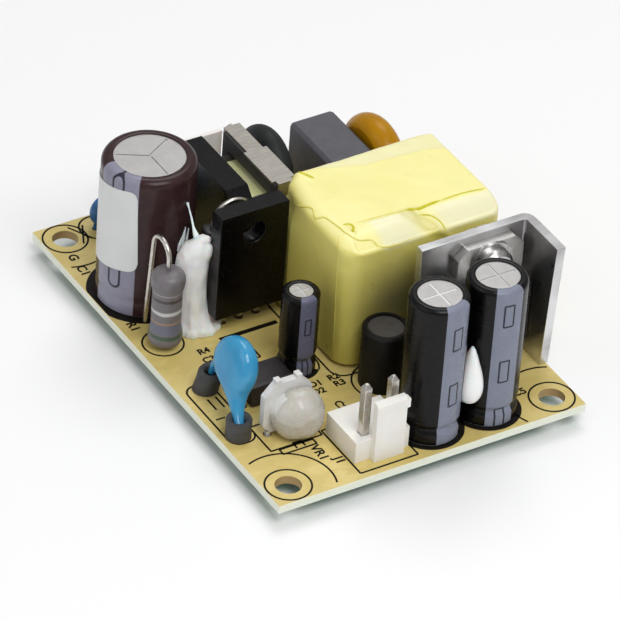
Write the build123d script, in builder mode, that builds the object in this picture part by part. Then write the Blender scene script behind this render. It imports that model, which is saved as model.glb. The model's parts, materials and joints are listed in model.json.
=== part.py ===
from build123d import *

# Open-frame switching power supply: a small printed board with its parts soldered on.
# The board lies in the XY plane with its underside at Z = 0, and the parts stand up along +Z.
# X runs from the input end to the output end, and Y runs across the width.
# The origin is the centre of the four mounting holes.
import os
from math import acos, atan2, cos, degrees, hypot, radians, sin

os.makedirs("parts", exist_ok=True)

# Board
board_length = 63.5
board_width = 45.7
board_thickness = 1.2
mounting_hole_diameter = 3.5
mounting_hole_inset = 3.175

# Leads, holes and solder joints
lead_clearance = 0.15
pad_margin = 0.5
joint_height = 2.0
joint_tip_radius = 0.45
pin_width = 0.6
wire_radius = 0.3
flat_lead_width = 0.75
flat_lead_thickness = 0.5
fit_clearance = 0.03

# Electrolytic capacitors
sleeve_wall = 0.15
bead_height = 2.4
bead_width = 1.5
bead_depth = 0.35
can_chamfer = 0.5
vent_width = 0.35
vent_depth = 0.12
bulk_x, bulk_y = -14.62, -15.95
bulk_radius = 6.25
bulk_height = 21.6
bulk_lip = 1.55
bulk_pitch = 5.0
output_capacitor_x, output_capacitor_y = 26.6, 2.19
output_capacitor_spacing = 8.6
output_capacitor_radius = 4.0
output_capacitor_height = 21.4
output_capacitor_lip = 1.15
output_capacitor_pitch = 3.5
supply_x, supply_y = 8.35, -6.45
supply_radius = 2.5
supply_height = 12.4
supply_lip = 0.95
supply_pitch = 2.0

# Blank label wrapped round the bulk capacitor
label_thickness = 0.1
label_bottom = 6.6
label_height = 12.6
label_start = 190.0
label_sweep = 122.0

# Output choke
choke_x, choke_y = 15.85, 1.9
choke_radius = 3.1
choke_height = 8.9
choke_sleeve_wall = 0.3
choke_sleeve_lip = 0.4
choke_flange = 1.0
choke_waist_radius = 1.4
choke_pitch = 3.0

# Power resistor standing on end
resistor_x, resistor_y = -3.1, -19.3
resistor_foot_x, resistor_foot_y = -8.5, -19.1
resistor_length = 12.3
resistor_end_radius = 2.25
resistor_end_length = 2.6
resistor_waist_radius = 1.98
resistor_standoff = 0.4
resistor_lead_radius = 0.33
resistor_lead_rise = 0.8
resistor_loop_width = 4.2

# Safety capacitor from line to output, with its two rubber sleeves
disc_front_x, disc_front_y = 17.4, -20.4
disc_back_x, disc_back_y = 7.2, -19.3
disc_x, disc_y, disc_z = 12.6, -18.4, 8.6
disc_radius = 3.75
disc_thickness = 3.0
disc_lean = 17.5
disc_leg_radius = 0.65
disc_neck_width = 4.2
disc_neck_thickness = 2.2
disc_sleeve_radius = 1.72
disc_sleeve_bore = 0.75
disc_sleeve_height = 3.0
disc_edge = 1.1

# Trimmer sealed with a drop of glue
trimmer_x, trimmer_y = 19.1, -14.35
trimmer_width = 7.0
trimmer_top = 9.2
trimmer_bottom = 1.7
trimmer_plate = 1.0
trimmer_top_width = 3.8
trimmer_shoulder = 1.7
trimmer_foot = 1.2
trimmer_tab_width = 0.8
trimmer_tab_height = 0.5
trimmer_pitch = 2.5
rotor_radius = 2.6
rotor_thickness = 1.2
rotor_z = 5.0
rotor_slot_width = 0.6
rotor_slot_depth = 0.5
seal_radius = 3.7
seal_depth = 4.1
seal_y, seal_z = -13.4, 4.75

# Pin headers at the two ends
header_pitch = 3.96
header_depth = 8.1
header_step = 0.95
header_base_height = 3.25
header_wall_height = 9.1
header_wall_thickness = 1.0
header_wall_inset = 1.25
header_wall_open = 1.0
header_wall_chamfer = 0.4
header_ear = 0.45
header_ear_height = 1.8
header_pin_width = 1.14
header_pin_height = 11.0
header_pin_tip = 0.6
header_pin_setback = 2.55
output_header_face, output_header_y = 29.75, -6.1
input_header_face, input_header_y = -30.7, 0.7
input_header_ways = 3
output_header_ways = 2

# Transformer
transformer_x = 2.75
transformer_clearance = 0.25
wrap_length = 19.3
wrap_width = 23.6
wrap_bottom = 1.7
wrap_top = 21.0
wrap_wall = 0.5
wrap_corner = 3.0
wrap_edge = 0.9
flap_inset = 2.7
flap_drop = 1.5
core_gap = 0.1
core_depth = 7.0
core_spine = 3.0
core_outer_leg = 3.4
core_centre_leg = 6.2
bobbin_wall = 0.8
bobbin_flange = 0.9
bobbin_clearance = 0.15
rail_bottom = 2.0
rail_height = 2.2
rail_inset = 3.3
rail_pin_inset = 1.0
transformer_pins_per_rail = 4
winding_margin = 0.5

# Line filter
filter_x, filter_y = -14.4, 0.45
filter_core_length = 13.2
filter_core_height = 12.9
filter_core_depth = 2.9
filter_core_bottom = 4.6
filter_leg = 2.2
filter_centre_leg = 2.8
filter_spine = 1.5
filter_flange = 0.5
filter_flange_width = 6.9
filter_flange_height = 7.8
filter_tube_wall = 0.5
filter_clearance = 0.1
filter_winding_height = 6.3
filter_winding_inset = 0.1
filter_post = 1.5
filter_post_bottom = 1.7
filter_post_top = 8.6
clip_thickness = 0.4
clip_width = 2.4
clip_drop = 8.0
clip_ear_width = 3.5
clip_ear_length = 7.2

# Input side parts
xcap_x, xcap_y = -18.0, 14.7
xcap_length = 13.0
xcap_width = 6.8
xcap_height = 11.5
xcap_standoff = 0.3
xcap_pitch = 10.0
xcap_edge = 0.5
varistor_x, varistor_y, varistor_z = -17.5, 20.7, 8.2
varistor_radius = 6.5
varistor_thickness = 4.0
varistor_edge = 1.4
varistor_pitch = 7.5
thermistor_x, thermistor_y, thermistor_z = -20.8, 5.8, 10.0
thermistor_radius = 5.6
thermistor_thickness = 3.4
thermistor_edge = 1.3
thermistor_pitch = 5.0
thermistor_lead_shift = 1.4
input_disc_x, input_disc_y, input_disc_z = -28.8, -12.5, 4.9
input_disc_radius = 3.4
input_disc_thickness = 2.6
input_disc_edge = 1.0
input_disc_pitch = 5.0
fuse_x, fuse_y = -27.3, -7.15
fuse_length = 7.8
fuse_width = 3.4
fuse_height = 8.0
fuse_edge = 0.4
fuse_pitch = 5.08

# Bridge rectifier
bridge_x, bridge_y = -15.7, -4.75
bridge_length = 14.4
bridge_thickness = 3.3
bridge_height = 11.3
bridge_bottom = 5.0
bridge_chamfer = 2.6
bridge_pitch = 3.8

# Fully moulded power transistor
transistor_face, transistor_y = -1.5, -7.72
transistor_width = 10.15
transistor_bottom = 3.8
transistor_height = 16.2
transistor_body_height = 9.2
transistor_thickness = 4.4
transistor_tab = 2.5
transistor_hole_radius = 1.6
transistor_hole_drop = 3.5
transistor_edge = 0.4
package_pitch = 2.54

# Snubber diode standing on end behind the transistor
snubber_x, snubber_y = -8.2, -9.9
snubber_foot_x, snubber_foot_y = -8.0, -4.8
snubber_radius = 1.35
snubber_length = 8.4
snubber_bottom = 5.8
snubber_edge = 0.25
snubber_loop_width = 4.6

# Heatsink and the rectifier screwed to it
heatsink_face = 16.2
heatsink_thickness = 1.3
heatsink_start = 6.2
heatsink_end = 23.1
heatsink_flange_end = 23.6
heatsink_flange_taper = 1.3
heatsink_top = 20.7
heatsink_bend = 1.5
heatsink_inner_bend = 0.3
heatsink_foot_width = 2.0
heatsink_feet_y = (8.0, 19.0)
rectifier_y = 16.0
rectifier_width = 10.0
rectifier_bottom = 4.6
rectifier_body_height = 9.2
rectifier_height = 15.0
rectifier_tab = 1.3
rectifier_thickness = 4.5
rectifier_hole_drop = 2.8
rectifier_lead_depth = 2.6
tab_chamfer = 1.4
screw_radius = 1.45
screw_hole_radius = 1.65
screw_head_radius = 2.4
screw_head_height = 1.5
screw_recess_width = 0.7
screw_recess_depth = 0.8
washer_radius = 3.0
washer_thickness = 0.5
nut_width = 5.5
nut_thickness = 1.3

# Optocoupler
opto_x, opto_y = 11.05, -12.9
opto_length = 4.6
opto_width = 6.2
opto_height = 3.2
opto_standoff = 0.2
opto_row = 7.62
opto_edge = 0.3
opto_lead_thickness = 0.3

# White silicone glue
glue_rings = [
    (-5.3, -14.0, 0.0, 2.9),
    (-5.3, -14.1, 1.4, 2.4),
    (-5.3, -14.4, 3.6, 1.8),
    (-5.3, -14.5, 9.0, 1.7),
    (-5.5, -14.4, 11.6, 1.9),
    (-5.3, -14.1, 12.8, 1.3),
    (-5.1, -13.9, 13.8, 0.5),
]
glue_clearance = 0.05
glue_blob_x = 28.7
glue_blob_rings = [(4.2, 0.5), (5.4, 1.7), (7.0, 2.0), (9.6, 1.6), (12.8, 0.6)]

# Parts soldered to the underside
controller_x, controller_y = 3.2, -12.6
controller_length = 4.9
controller_width = 3.9
controller_height = 1.45
controller_standoff = 0.1
controller_pitch = 1.27
controller_foot = 1.05
controller_lead_width = 0.42
controller_lead_thickness = 0.25
chip_length = 2.0
chip_width = 1.25
chip_cap = 0.35
chip_resistor_height = 0.5
chip_capacitor_height = 0.9
chip_plating = 0.05
chip_resistor_places = [(6.0, -16.8), (1.0, -16.8), (14.8, -7.2), (18.4, -8.0), (22.6, -12.8)]
chip_capacitor_places = [(22.0, -2.2), (12.3, -3.4), (3.2, -8.6)]
diode_length = 2.7
diode_width = 1.6
diode_height = 1.1
surface_diode_places = [(-2.0, 1.0), (17.5, -4.4), (26.0, -15.0)]


def upright(x, y, angle=0.0):
    """A vertical sketch plane on the board at a place, with its own X turned from the board's X."""
    along = (cos(radians(angle)), sin(radians(angle)), 0)
    across = (sin(radians(angle)), -cos(radians(angle)), 0)
    return Plane(origin=(x, y, 0), x_dir=along, z_dir=across)


def row(x, y, pitch, count, angle=0.0):
    """Places in a straight row about a centre."""
    steps = [(index - (count - 1) / 2) * pitch for index in range(count)]
    return [(x + step * cos(radians(angle)), y + step * sin(radians(angle))) for step in steps]


def corners(x, y, length, width):
    """Four places at the corners of a rectangle about a centre."""
    return [(x + sx * length / 2, y + sy * width / 2) for sx in (-1, 1) for sy in (-1, 1)]


def posts(places, radius, bottom, top, mode=Mode.ADD):
    """Round posts between two heights, in the part being built."""
    with Locations(*[(x, y, bottom) for x, y in places]):
        Cylinder(radius, top - bottom, align=(Align.CENTER, Align.CENTER, Align.MIN), mode=mode)


def block(x, y, z, mode=Mode.ADD):
    """A block between two X, two Y and two Z values, in the part being built."""
    with Locations(((x[0] + x[1]) / 2, (y[0] + y[1]) / 2, z[0])):
        Box(x[1] - x[0], y[1] - y[0], z[1] - z[0],
            align=(Align.CENTER, Align.CENTER, Align.MIN), mode=mode)


def about(centre, size):
    """The two ends of a span about its centre."""
    return centre - size / 2, centre + size / 2


def straight_leads(places, width, depth, top):
    """Flat or square leads from the underside of the board up to a height."""
    for x, y in places:
        block(about(x, width), about(y, depth), (0, top))


def finish(piece, name):
    """Name a finished piece and write it out."""
    piece.part.label = name
    export_step(piece.part, f"parts/{name}.step")


# Values that several pieces share
board_top = board_thickness
output_capacitor_b_y = output_capacitor_y + output_capacitor_spacing
output_pin_x = output_header_face - header_pin_setback
input_pin_x = input_header_face + header_pin_setback
transformer_y = transistor_y + transistor_width / 2 + transformer_clearance + wrap_width / 2
rail_width = wrap_width - 2 * rail_inset
transformer_pin_pitch = (rail_width - 2 * rail_pin_inset) / (transformer_pins_per_rail - 1)
core_length = wrap_length - 2 * (wrap_wall + core_gap)
core_width = wrap_width - 2 * (wrap_wall + core_gap)
core_z = (wrap_bottom + wrap_top) / 2
rail_x = core_length / 2 - core_spine / 2
bobbin_half = core_length / 2 - core_spine - core_gap
bobbin_reach = core_width / 2 - core_outer_leg - bobbin_clearance
filter_z = filter_core_bottom + filter_core_height / 2
filter_half = filter_core_length / 2 - filter_spine
trimmer_pin_x = trimmer_x - trimmer_plate / 2
transistor_lead_x = transistor_face - transistor_tab
rectifier_lead_x = heatsink_face + rectifier_lead_depth
heatsink_foot_x = heatsink_face - heatsink_thickness / 2
screw_z = rectifier_bottom + rectifier_height - rectifier_hole_drop

# Lead places
bulk_leads = row(bulk_x, bulk_y, bulk_pitch, 2, 45)
output_leads_a = row(output_capacitor_x, output_capacitor_y, output_capacitor_pitch, 2)
output_leads_b = row(output_capacitor_x, output_capacitor_b_y, output_capacitor_pitch, 2)
supply_leads = row(supply_x, supply_y, supply_pitch, 2)
choke_leads = row(choke_x, choke_y, choke_pitch, 2, 90)
resistor_leads = [(resistor_x, resistor_y), (resistor_foot_x, resistor_foot_y)]
disc_leads = [(disc_front_x, disc_front_y), (disc_back_x, disc_back_y)]
trimmer_leads = row(trimmer_pin_x, trimmer_y, trimmer_pitch, 3, 90)
output_header_leads = row(output_pin_x, output_header_y, header_pitch, 2, 90)
input_header_leads = row(input_pin_x, input_header_y, 2 * header_pitch, 2, 90)
transformer_leads = [
    place
    for side in (-1, 1)
    for place in row(transformer_x + side * rail_x, transformer_y, transformer_pin_pitch,
                     transformer_pins_per_rail, 90)
]
filter_leads = corners(filter_x, filter_y, 2 * filter_half + filter_post,
                       filter_flange_width - filter_post)
xcap_leads = row(xcap_x, xcap_y, xcap_pitch, 2)
varistor_leads = row(varistor_x, varistor_y, varistor_pitch, 2)
thermistor_leads = row(thermistor_x + thermistor_lead_shift, thermistor_y, thermistor_pitch, 2)
input_disc_leads = row(input_disc_x, input_disc_y, input_disc_pitch, 2, 90)
fuse_leads = row(fuse_x, fuse_y, fuse_pitch, 2)
bridge_leads = row(bridge_x, bridge_y, bridge_pitch, 4)
transistor_leads = row(transistor_lead_x, transistor_y, package_pitch, 3, 90)
snubber_leads = [(snubber_x, snubber_y), (snubber_foot_x, snubber_foot_y)]
rectifier_leads = row(rectifier_lead_x, rectifier_y, package_pitch, 3, 90)
opto_leads = corners(opto_x, opto_y, package_pitch, opto_row)
heatsink_leads = [(heatsink_foot_x, foot_y) for foot_y in heatsink_feet_y]

# Each group of leads with the radius of its board holes
lead_groups = [
    (bulk_leads + output_leads_a + output_leads_b + supply_leads, wire_radius + lead_clearance),
    (choke_leads + disc_leads + input_disc_leads + snubber_leads, wire_radius + lead_clearance),
    (thermistor_leads + varistor_leads + xcap_leads, wire_radius + lead_clearance),
    (resistor_leads, resistor_lead_radius + lead_clearance),
    (transformer_leads + filter_leads + fuse_leads, pin_width * 0.5**0.5 + lead_clearance),
    (trimmer_leads + opto_leads, pin_width * 0.5**0.5 + lead_clearance),
    (bridge_leads + transistor_leads + rectifier_leads,
     hypot(flat_lead_width, flat_lead_thickness) / 2 + lead_clearance),
    (output_header_leads + input_header_leads, header_pin_width * 0.5**0.5 + lead_clearance),
    (heatsink_leads, hypot(heatsink_foot_width, heatsink_thickness) / 2 + lead_clearance),
]


def make_board():
    """The printed board with its mounting holes and lead holes."""
    hole_spacing_x = board_length - 2 * mounting_hole_inset
    hole_spacing_y = board_width - 2 * mounting_hole_inset
    with BuildPart() as board:
        with BuildSketch():
            Rectangle(board_length, board_width)
            with GridLocations(hole_spacing_x, hole_spacing_y, 2, 2):
                Circle(mounting_hole_diameter / 2, mode=Mode.SUBTRACT)
            for places, radius in lead_groups:
                with Locations(*places):
                    Circle(radius, mode=Mode.SUBTRACT)
        extrude(amount=board_thickness)
    return board


def make_solder_joints():
    """Solder cones on the underside, cut off level, so that the board rests on their tips."""
    with BuildPart() as joints:
        for places, radius in lead_groups:
            with Locations(*[(x, y, -joint_height) for x, y in places]):
                Cone(joint_tip_radius, radius + pad_margin, joint_height,
                     align=(Align.CENTER, Align.CENTER, Align.MIN))
    return joints


def can_outline(radius, top, groove):
    """Half outline of a capacitor can, from the board up to its top face, with a crimped groove."""
    middle = board_top + bead_height
    return [
        (radius, board_top),
        (radius, middle - bead_width / 2),
        (radius - groove, middle),
        (radius, middle + bead_width / 2),
        (radius, top - can_chamfer),
        (radius - can_chamfer, top),
    ]


def make_can(x, y, radius, height, lip, leads, vent_arms):
    """An aluminium can with a scored vent on top and two leads below."""
    top = board_top + height - sleeve_wall
    can_radius = radius - sleeve_wall
    groove = bead_depth
    with BuildPart() as can:
        with BuildSketch(upright(x, y)):
            with BuildLine():
                Polyline((0, board_top), *can_outline(can_radius, top, groove), (0, top), close=True)
            make_face()
        revolve(axis=Axis((x, y, 0), (0, 0, 1)))
        posts(leads, wire_radius, 0, board_top)
        arm = radius - lip - vent_width
        with BuildSketch(Plane.XY.offset(top - vent_depth)):
            with Locations((x, y)):
                with PolarLocations(0, vent_arms):
                    Rectangle(arm, vent_width, align=(Align.MIN, Align.CENTER))
        extrude(amount=vent_depth, mode=Mode.SUBTRACT)
    return can


def make_can_sleeve(x, y, radius, height, lip):
    """The shrunk plastic sleeve over a can, open over the vent."""
    top = board_top + height
    outside = can_outline(radius, top, bead_depth)
    inside = can_outline(radius - sleeve_wall, top - sleeve_wall, bead_depth)
    opening = radius - lip
    with BuildPart() as sleeve:
        with BuildSketch(upright(x, y)):
            with BuildLine():
                Polyline(*outside, (opening, top), (opening, top - sleeve_wall), *reversed(inside),
                         close=True)
            make_face()
        revolve(axis=Axis((x, y, 0), (0, 0, 1)))
    return sleeve


def make_label():
    """A blank label on the sleeve of the bulk capacitor."""
    inner = bulk_radius + fit_clearance
    with BuildPart() as label:
        with BuildSketch(upright(bulk_x, bulk_y, label_start)):
            with Locations((inner, label_bottom)):
                Rectangle(label_thickness, label_height, align=(Align.MIN, Align.MIN))
        revolve(axis=Axis((bulk_x, bulk_y, 0), (0, 0, 1)), revolution_arc=label_sweep)
    return label


def make_choke_core():
    """A ferrite drum core with a flange at each end."""
    radius = choke_radius - choke_sleeve_wall
    top = board_top + choke_height - choke_sleeve_wall
    with BuildPart() as core:
        posts([(choke_x, choke_y)], choke_waist_radius, board_top, top)
        posts([(choke_x, choke_y)], radius, board_top, board_top + choke_flange)
        posts([(choke_x, choke_y)], radius, top - choke_flange, top)
    return core


def make_choke_winding():
    """The copper winding between the flanges, with its two ends led down through the board."""
    radius = choke_radius - choke_sleeve_wall
    bottom = board_top + choke_flange
    top = board_top + choke_height - choke_sleeve_wall - choke_flange
    with BuildPart() as winding:
        posts([(choke_x, choke_y)], radius - fit_clearance, bottom, top)
        posts([(choke_x, choke_y)], choke_waist_radius, bottom, top, Mode.SUBTRACT)
    return winding


def make_choke_sleeve():
    """The shrunk sleeve round the choke, open over the top flange."""
    place = [(choke_x, choke_y)]
    top = board_top + choke_height
    with BuildPart() as sleeve:
        posts(place, choke_radius, board_top, top)
        chamfer(sleeve.faces().sort_by(Axis.Z)[-1].edges(), choke_sleeve_wall)
        posts(place, choke_radius - choke_sleeve_wall, board_top, top - choke_sleeve_wall, Mode.SUBTRACT)
        posts(place, choke_radius - choke_sleeve_wall - choke_sleeve_lip, board_top, top, Mode.SUBTRACT)
    return sleeve


def make_resistor():
    """A power resistor standing on end, with its lower lead through the board."""
    bottom = board_top + resistor_standoff
    top = bottom + resistor_length
    neck = resistor_lead_radius * 2
    shoulder = (resistor_end_radius - resistor_waist_radius) * 2
    half = [
        (0, bottom),
        (neck, bottom),
        (resistor_end_radius, bottom + shoulder),
        (resistor_end_radius, bottom + resistor_end_length - shoulder),
        (resistor_waist_radius, bottom + resistor_end_length),
        (resistor_waist_radius, top - resistor_end_length),
        (resistor_end_radius, top - resistor_end_length + shoulder),
        (resistor_end_radius, top - shoulder),
        (neck, top),
        (0, top),
    ]
    with BuildPart() as resistor:
        with BuildSketch(upright(resistor_x, resistor_y)):
            with BuildLine():
                Polyline(*half, close=True)
            make_face()
        revolve(axis=Axis((resistor_x, resistor_y, 0), (0, 0, 1)))
        posts([(resistor_x, resistor_y)], resistor_lead_radius, 0, bottom)
    return resistor


def loop_over(start, foot, radius, bottom, rise, width):
    """A wire that leaves a body's top, turns over in an arc and runs down to its hole."""
    span = hypot(foot[0] - start[0], foot[1] - start[1])
    angle = degrees(atan2(foot[1] - start[1], foot[0] - start[0]))
    plane = upright(start[0], start[1], angle)
    spring = bottom + rise
    knee = board_top + rise
    bend = width / 2
    reach = hypot(span - bend, spring - knee)
    turn = acos(bend / reach) - atan2(spring - knee, span - bend)
    end = (bend + bend * cos(turn), spring + bend * sin(turn))
    with BuildPart() as wire:
        with BuildLine(plane):
            Line((0, bottom), (0, spring))
            ThreePointArc((0, spring), (bend, spring + bend), end)
            Line(end, (span, knee))
        with BuildSketch(Plane.XY.offset(bottom)):
            with Locations(start):
                Circle(radius)
        sweep()
        with Locations((foot[0], foot[1], knee)):
            Sphere(radius)
        posts([foot], radius, 0, knee)
    return wire


def make_resistor_lead():
    """The upper lead of the power resistor, looped over to its own hole."""
    top = board_top + resistor_standoff + resistor_length
    return loop_over(resistor_leads[0], resistor_leads[1], resistor_lead_radius, top,
                     resistor_lead_rise, resistor_loop_width)


def coated_disc(plane, radius, thickness, edge):
    """A coated disc with rounded edges about the plane's centre and normal, in the part being built."""
    half = thickness / 2
    profile_plane = Plane(origin=plane.origin, x_dir=plane.x_dir, z_dir=plane.y_dir)
    with BuildSketch(profile_plane) as profile:
        with BuildLine():
            Polyline((radius - edge, half), (0, half), (0, -half), (radius - edge, -half))
            ThreePointArc((radius - edge, -half), (radius, 0), (radius - edge, half))
        make_face()
    revolve(profile.sketch, axis=Axis(plane.origin, plane.z_dir))


def rod(start, end, radius):
    """A straight round rod between two points, in the part being built."""
    direction = Vector(*end) - Vector(*start)
    with BuildSketch(Plane(origin=start, z_dir=direction)) as section:
        Circle(radius)
    extrude(section.sketch, amount=direction.length)


def make_disc_capacitor():
    """The safety capacitor leaning back, its coating drawn out along two leads like a drop."""
    normal = (0, -cos(radians(disc_lean)), sin(radians(disc_lean)))
    plane = Plane(origin=(disc_x, disc_y, disc_z), x_dir=(1, 0, 0), z_dir=normal)
    knee = board_top + disc_sleeve_height + 2 * disc_leg_radius
    with BuildPart() as disc:
        coated_disc(plane, disc_radius, disc_thickness, disc_edge)
        for x, y in disc_leads:
            side = 1 if x > disc_x else -1
            inside = plane.from_local_coords((side * disc_radius / 2, -disc_radius / 2, 0))
            along = Vector(x, y, knee) - inside
            across = plane.z_dir.cross(along)
            with BuildSketch(Plane(origin=inside, x_dir=across, z_dir=along)) as wide:
                Ellipse(disc_neck_width / 2, disc_neck_thickness / 2)
            with BuildSketch(Plane(origin=(x, y, knee), x_dir=across, z_dir=along)) as narrow:
                Circle(disc_leg_radius)
            loft([wide.sketch, narrow.sketch])
            with Locations((x, y, knee)):
                Sphere(disc_leg_radius)
            rod((x, y, knee), (x, y, 0), wire_radius)
            rod((x, y, knee), (x, y, knee - disc_leg_radius * 2), disc_leg_radius)
    return disc


def make_disc_sleeves():
    """The two rubber sleeves round the leads of the safety capacitor."""
    top = board_top + disc_sleeve_height
    with BuildPart() as sleeves:
        posts(disc_leads, disc_sleeve_radius, board_top, top)
        posts(disc_leads, disc_sleeve_bore, board_top, top, Mode.SUBTRACT)
    return sleeves


def make_trimmer_base():
    """The plate of the trimmer, standing on edge, with clipped corners, top tabs and three pins."""
    half = trimmer_width / 2
    flat = trimmer_top_width / 2
    bottom = trimmer_bottom
    outline = [
        (trimmer_foot - half, bottom),
        (half - trimmer_foot, bottom),
        (half, bottom + trimmer_foot),
        (half, trimmer_top - trimmer_shoulder),
        (flat, trimmer_top),
        (-flat, trimmer_top),
        (-half, trimmer_top - trimmer_shoulder),
        (-half, bottom + trimmer_foot),
    ]
    with BuildPart() as base:
        with BuildSketch(upright(trimmer_x, trimmer_y, 90)):
            with BuildLine():
                Polyline(*outline, close=True)
            make_face()
            with Locations((-flat, trimmer_top), (flat - trimmer_tab_width, trimmer_top)):
                Rectangle(trimmer_tab_width, trimmer_tab_height, align=(Align.MIN, Align.MIN))
        extrude(amount=-trimmer_plate)
        straight_leads(trimmer_leads, pin_width, pin_width, bottom)
    return base


def make_trimmer_rotor():
    """The slotted rotor on the face of the trimmer."""
    with BuildPart() as rotor:
        with BuildSketch(upright(trimmer_x, trimmer_y, 90)):
            with Locations((0, rotor_z)):
                Circle(rotor_radius)
        extrude(amount=rotor_thickness)
        with BuildSketch(upright(trimmer_x + rotor_thickness, trimmer_y, 90)):
            with Locations((0, rotor_z)):
                Rectangle(2 * rotor_radius, rotor_slot_width, rotation=35)
        extrude(amount=-rotor_slot_depth, mode=Mode.SUBTRACT)
    return rotor


def make_trimmer_seal():
    """The hard drop of sealing glue that covers the rotor and locks it."""
    front = trimmer_x + fit_clearance
    with BuildPart() as seal:
        with Locations((trimmer_x + seal_depth - seal_radius, seal_y, seal_z)):
            Sphere(seal_radius)
        split(bisect_by=Plane(origin=(front, 0, 0), z_dir=(1, 0, 0)))
        split(bisect_by=Plane(origin=(0, 0, board_top + fit_clearance), z_dir=(0, 0, 1)))
        with BuildSketch(upright(trimmer_x, trimmer_y, 90)):
            with Locations((0, rotor_z)):
                Circle(rotor_radius + fit_clearance)
        extrude(amount=rotor_thickness + fit_clearance, mode=Mode.SUBTRACT)
    return seal


def make_header(face, y, ways, side, leads):
    """A header's nylon body: a base along the pins and a locking wall with one ear at the board's edge."""
    base_width = ways * header_pitch
    wall_ends = sorted((side * (header_wall_inset + header_wall_open - base_width / 2),
                        side * (base_width / 2 - header_wall_inset)))
    ear_ends = sorted((0, side * (base_width / 2 - header_wall_inset + header_ear)))
    wall_top = board_top + header_wall_height
    base_top = board_top + header_base_height
    wall_x = sorted((face, face - side * header_wall_thickness))
    step_x = sorted((face, face - side * (header_step + header_wall_thickness)))
    plane = upright(face, y, 90 - 90 * side)
    inward = -1
    with BuildPart() as header:
        block(wall_x, (y + wall_ends[0], y + wall_ends[1]), (board_top, wall_top))
        outer_edge = header.faces().sort_by(Axis.Z)[-1].edges().filter_by(Axis.Y)
        chamfer(outer_edge.sort_by_distance((face, y, wall_top))[0], header_wall_chamfer)
        block(step_x, (y + wall_ends[0], y + wall_ends[1]), (board_top, base_top))
        with BuildSketch(plane):
            with Locations((inward * header_step, board_top)):
                Rectangle(header_depth - header_step, header_base_height,
                          align=(Align.MAX, Align.MIN))
        extrude(amount=base_width / 2, both=True)
        block(wall_x, (y + ear_ends[0], y + ear_ends[1]),
              (wall_top - header_ear_height, wall_top - header_wall_chamfer))
        hole = header_pin_width + 2 * fit_clearance
        for pin_x, pin_y in leads:
            block(about(pin_x, hole), about(pin_y, hole), (board_top, base_top), Mode.SUBTRACT)
    return header


def make_header_pins(leads):
    """Square tinned pins with pointed tips."""
    top = board_top + header_pin_height
    with BuildPart() as pins:
        straight_leads(leads, header_pin_width, header_pin_width, top)
        chamfer(pins.faces().filter_by(Axis.Z).group_by(Axis.Z)[-1].edges(),
                length=header_pin_tip, length2=header_pin_width * 0.3)
    return pins


def wrapped_form(inset):
    """The taped transformer's form, less an inset all round: a bevelled block with one edge folded down."""
    top = wrap_top - inset
    side = transformer_x + wrap_length / 2 - inset
    with BuildPart() as form:
        with BuildSketch(Plane.XY.offset(wrap_bottom)):
            with Locations((transformer_x, transformer_y)):
                RectangleRounded(wrap_length - 2 * inset, wrap_width - 2 * inset, wrap_corner - inset)
        extrude(amount=top - wrap_bottom)
        chamfer(form.faces().sort_by(Axis.Z)[-1].edges(), wrap_edge)
        with BuildSketch(Plane.XZ.offset(-transformer_y)):
            with BuildLine():
                Polyline((side - flap_inset, top), (side, top), (side, top - flap_drop), close=True)
            make_face()
        extrude(amount=wrap_width / 2, both=True, mode=Mode.SUBTRACT)
    return form.part


def make_wrap():
    """The tape wrapped round the whole transformer, open below."""
    with BuildPart() as wrap:
        add(wrapped_form(0))
        add(wrapped_form(wrap_wall), mode=Mode.SUBTRACT)
    return wrap


def make_core_half(side):
    """One E-shaped half of the ferrite core."""
    half = core_length / 2
    window = (core_width - core_centre_leg) / 2 - core_outer_leg
    window_y = (core_centre_leg + window) / 2
    corner = wrap_corner - wrap_wall - core_gap
    with BuildPart() as core:
        with BuildSketch(Plane.XY.offset(core_z - core_depth / 2)):
            with Locations((transformer_x + side * half / 2, transformer_y)):
                Rectangle(half, core_width)
            with Locations(*corners(transformer_x, transformer_y, 0, 2 * window_y)[:2]):
                Rectangle(2 * (half - core_spine), window, mode=Mode.SUBTRACT)
        extrude(amount=core_depth)
        outer = core.faces().filter_by(Axis.X).sort_by(Axis.X)[-1 if side > 0 else 0]
        fillet(outer.edges().filter_by(Axis.Z), corner)
    return core


def make_transformer_bobbin():
    """The bobbin: a tube round the centre leg, two flanges and two pin rails."""
    x, y = transformer_x, transformer_y
    top = wrap_top - wrap_wall - wrap_edge
    bore_y = core_centre_leg + 2 * bobbin_clearance
    bore_z = core_depth + 2 * bobbin_clearance
    ends = about(x, 2 * bobbin_half)
    with BuildPart() as bobbin:
        block(ends, about(y, bore_y + 2 * bobbin_wall), about(core_z, bore_z + 2 * bobbin_wall))
        for side in (-1, 1):
            flange = about(x + side * (bobbin_half - bobbin_flange / 2), bobbin_flange)
            block(flange, about(y, 2 * bobbin_reach), (rail_bottom, top))
            rail = sorted((x + side * bobbin_half, x + side * (core_length / 2 - core_gap)))
            block(rail, about(y, rail_width), (rail_bottom, rail_bottom + rail_height))
        block(ends, about(y, bore_y), about(core_z, bore_z), Mode.SUBTRACT)
    return bobbin


def make_transformer_winding():
    """The winding on the bobbin, with rounded corners."""
    x, y = transformer_x, transformer_y
    ends = about(x, 2 * (bobbin_half - bobbin_flange - fit_clearance))
    inner_y = core_centre_leg + 2 * (bobbin_clearance + bobbin_wall + fit_clearance)
    inner_z = core_depth + 2 * (bobbin_clearance + bobbin_wall + fit_clearance)
    height = wrap_top - wrap_bottom - 2 * (wrap_wall + winding_margin)
    with BuildPart() as winding:
        block(ends, about(y, 2 * (bobbin_reach - winding_margin)), about(core_z, height))
        fillet(winding.edges().filter_by(Axis.X), wrap_corner)
        block(ends, about(y, inner_y), about(core_z, inner_z), Mode.SUBTRACT)
    return winding


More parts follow.
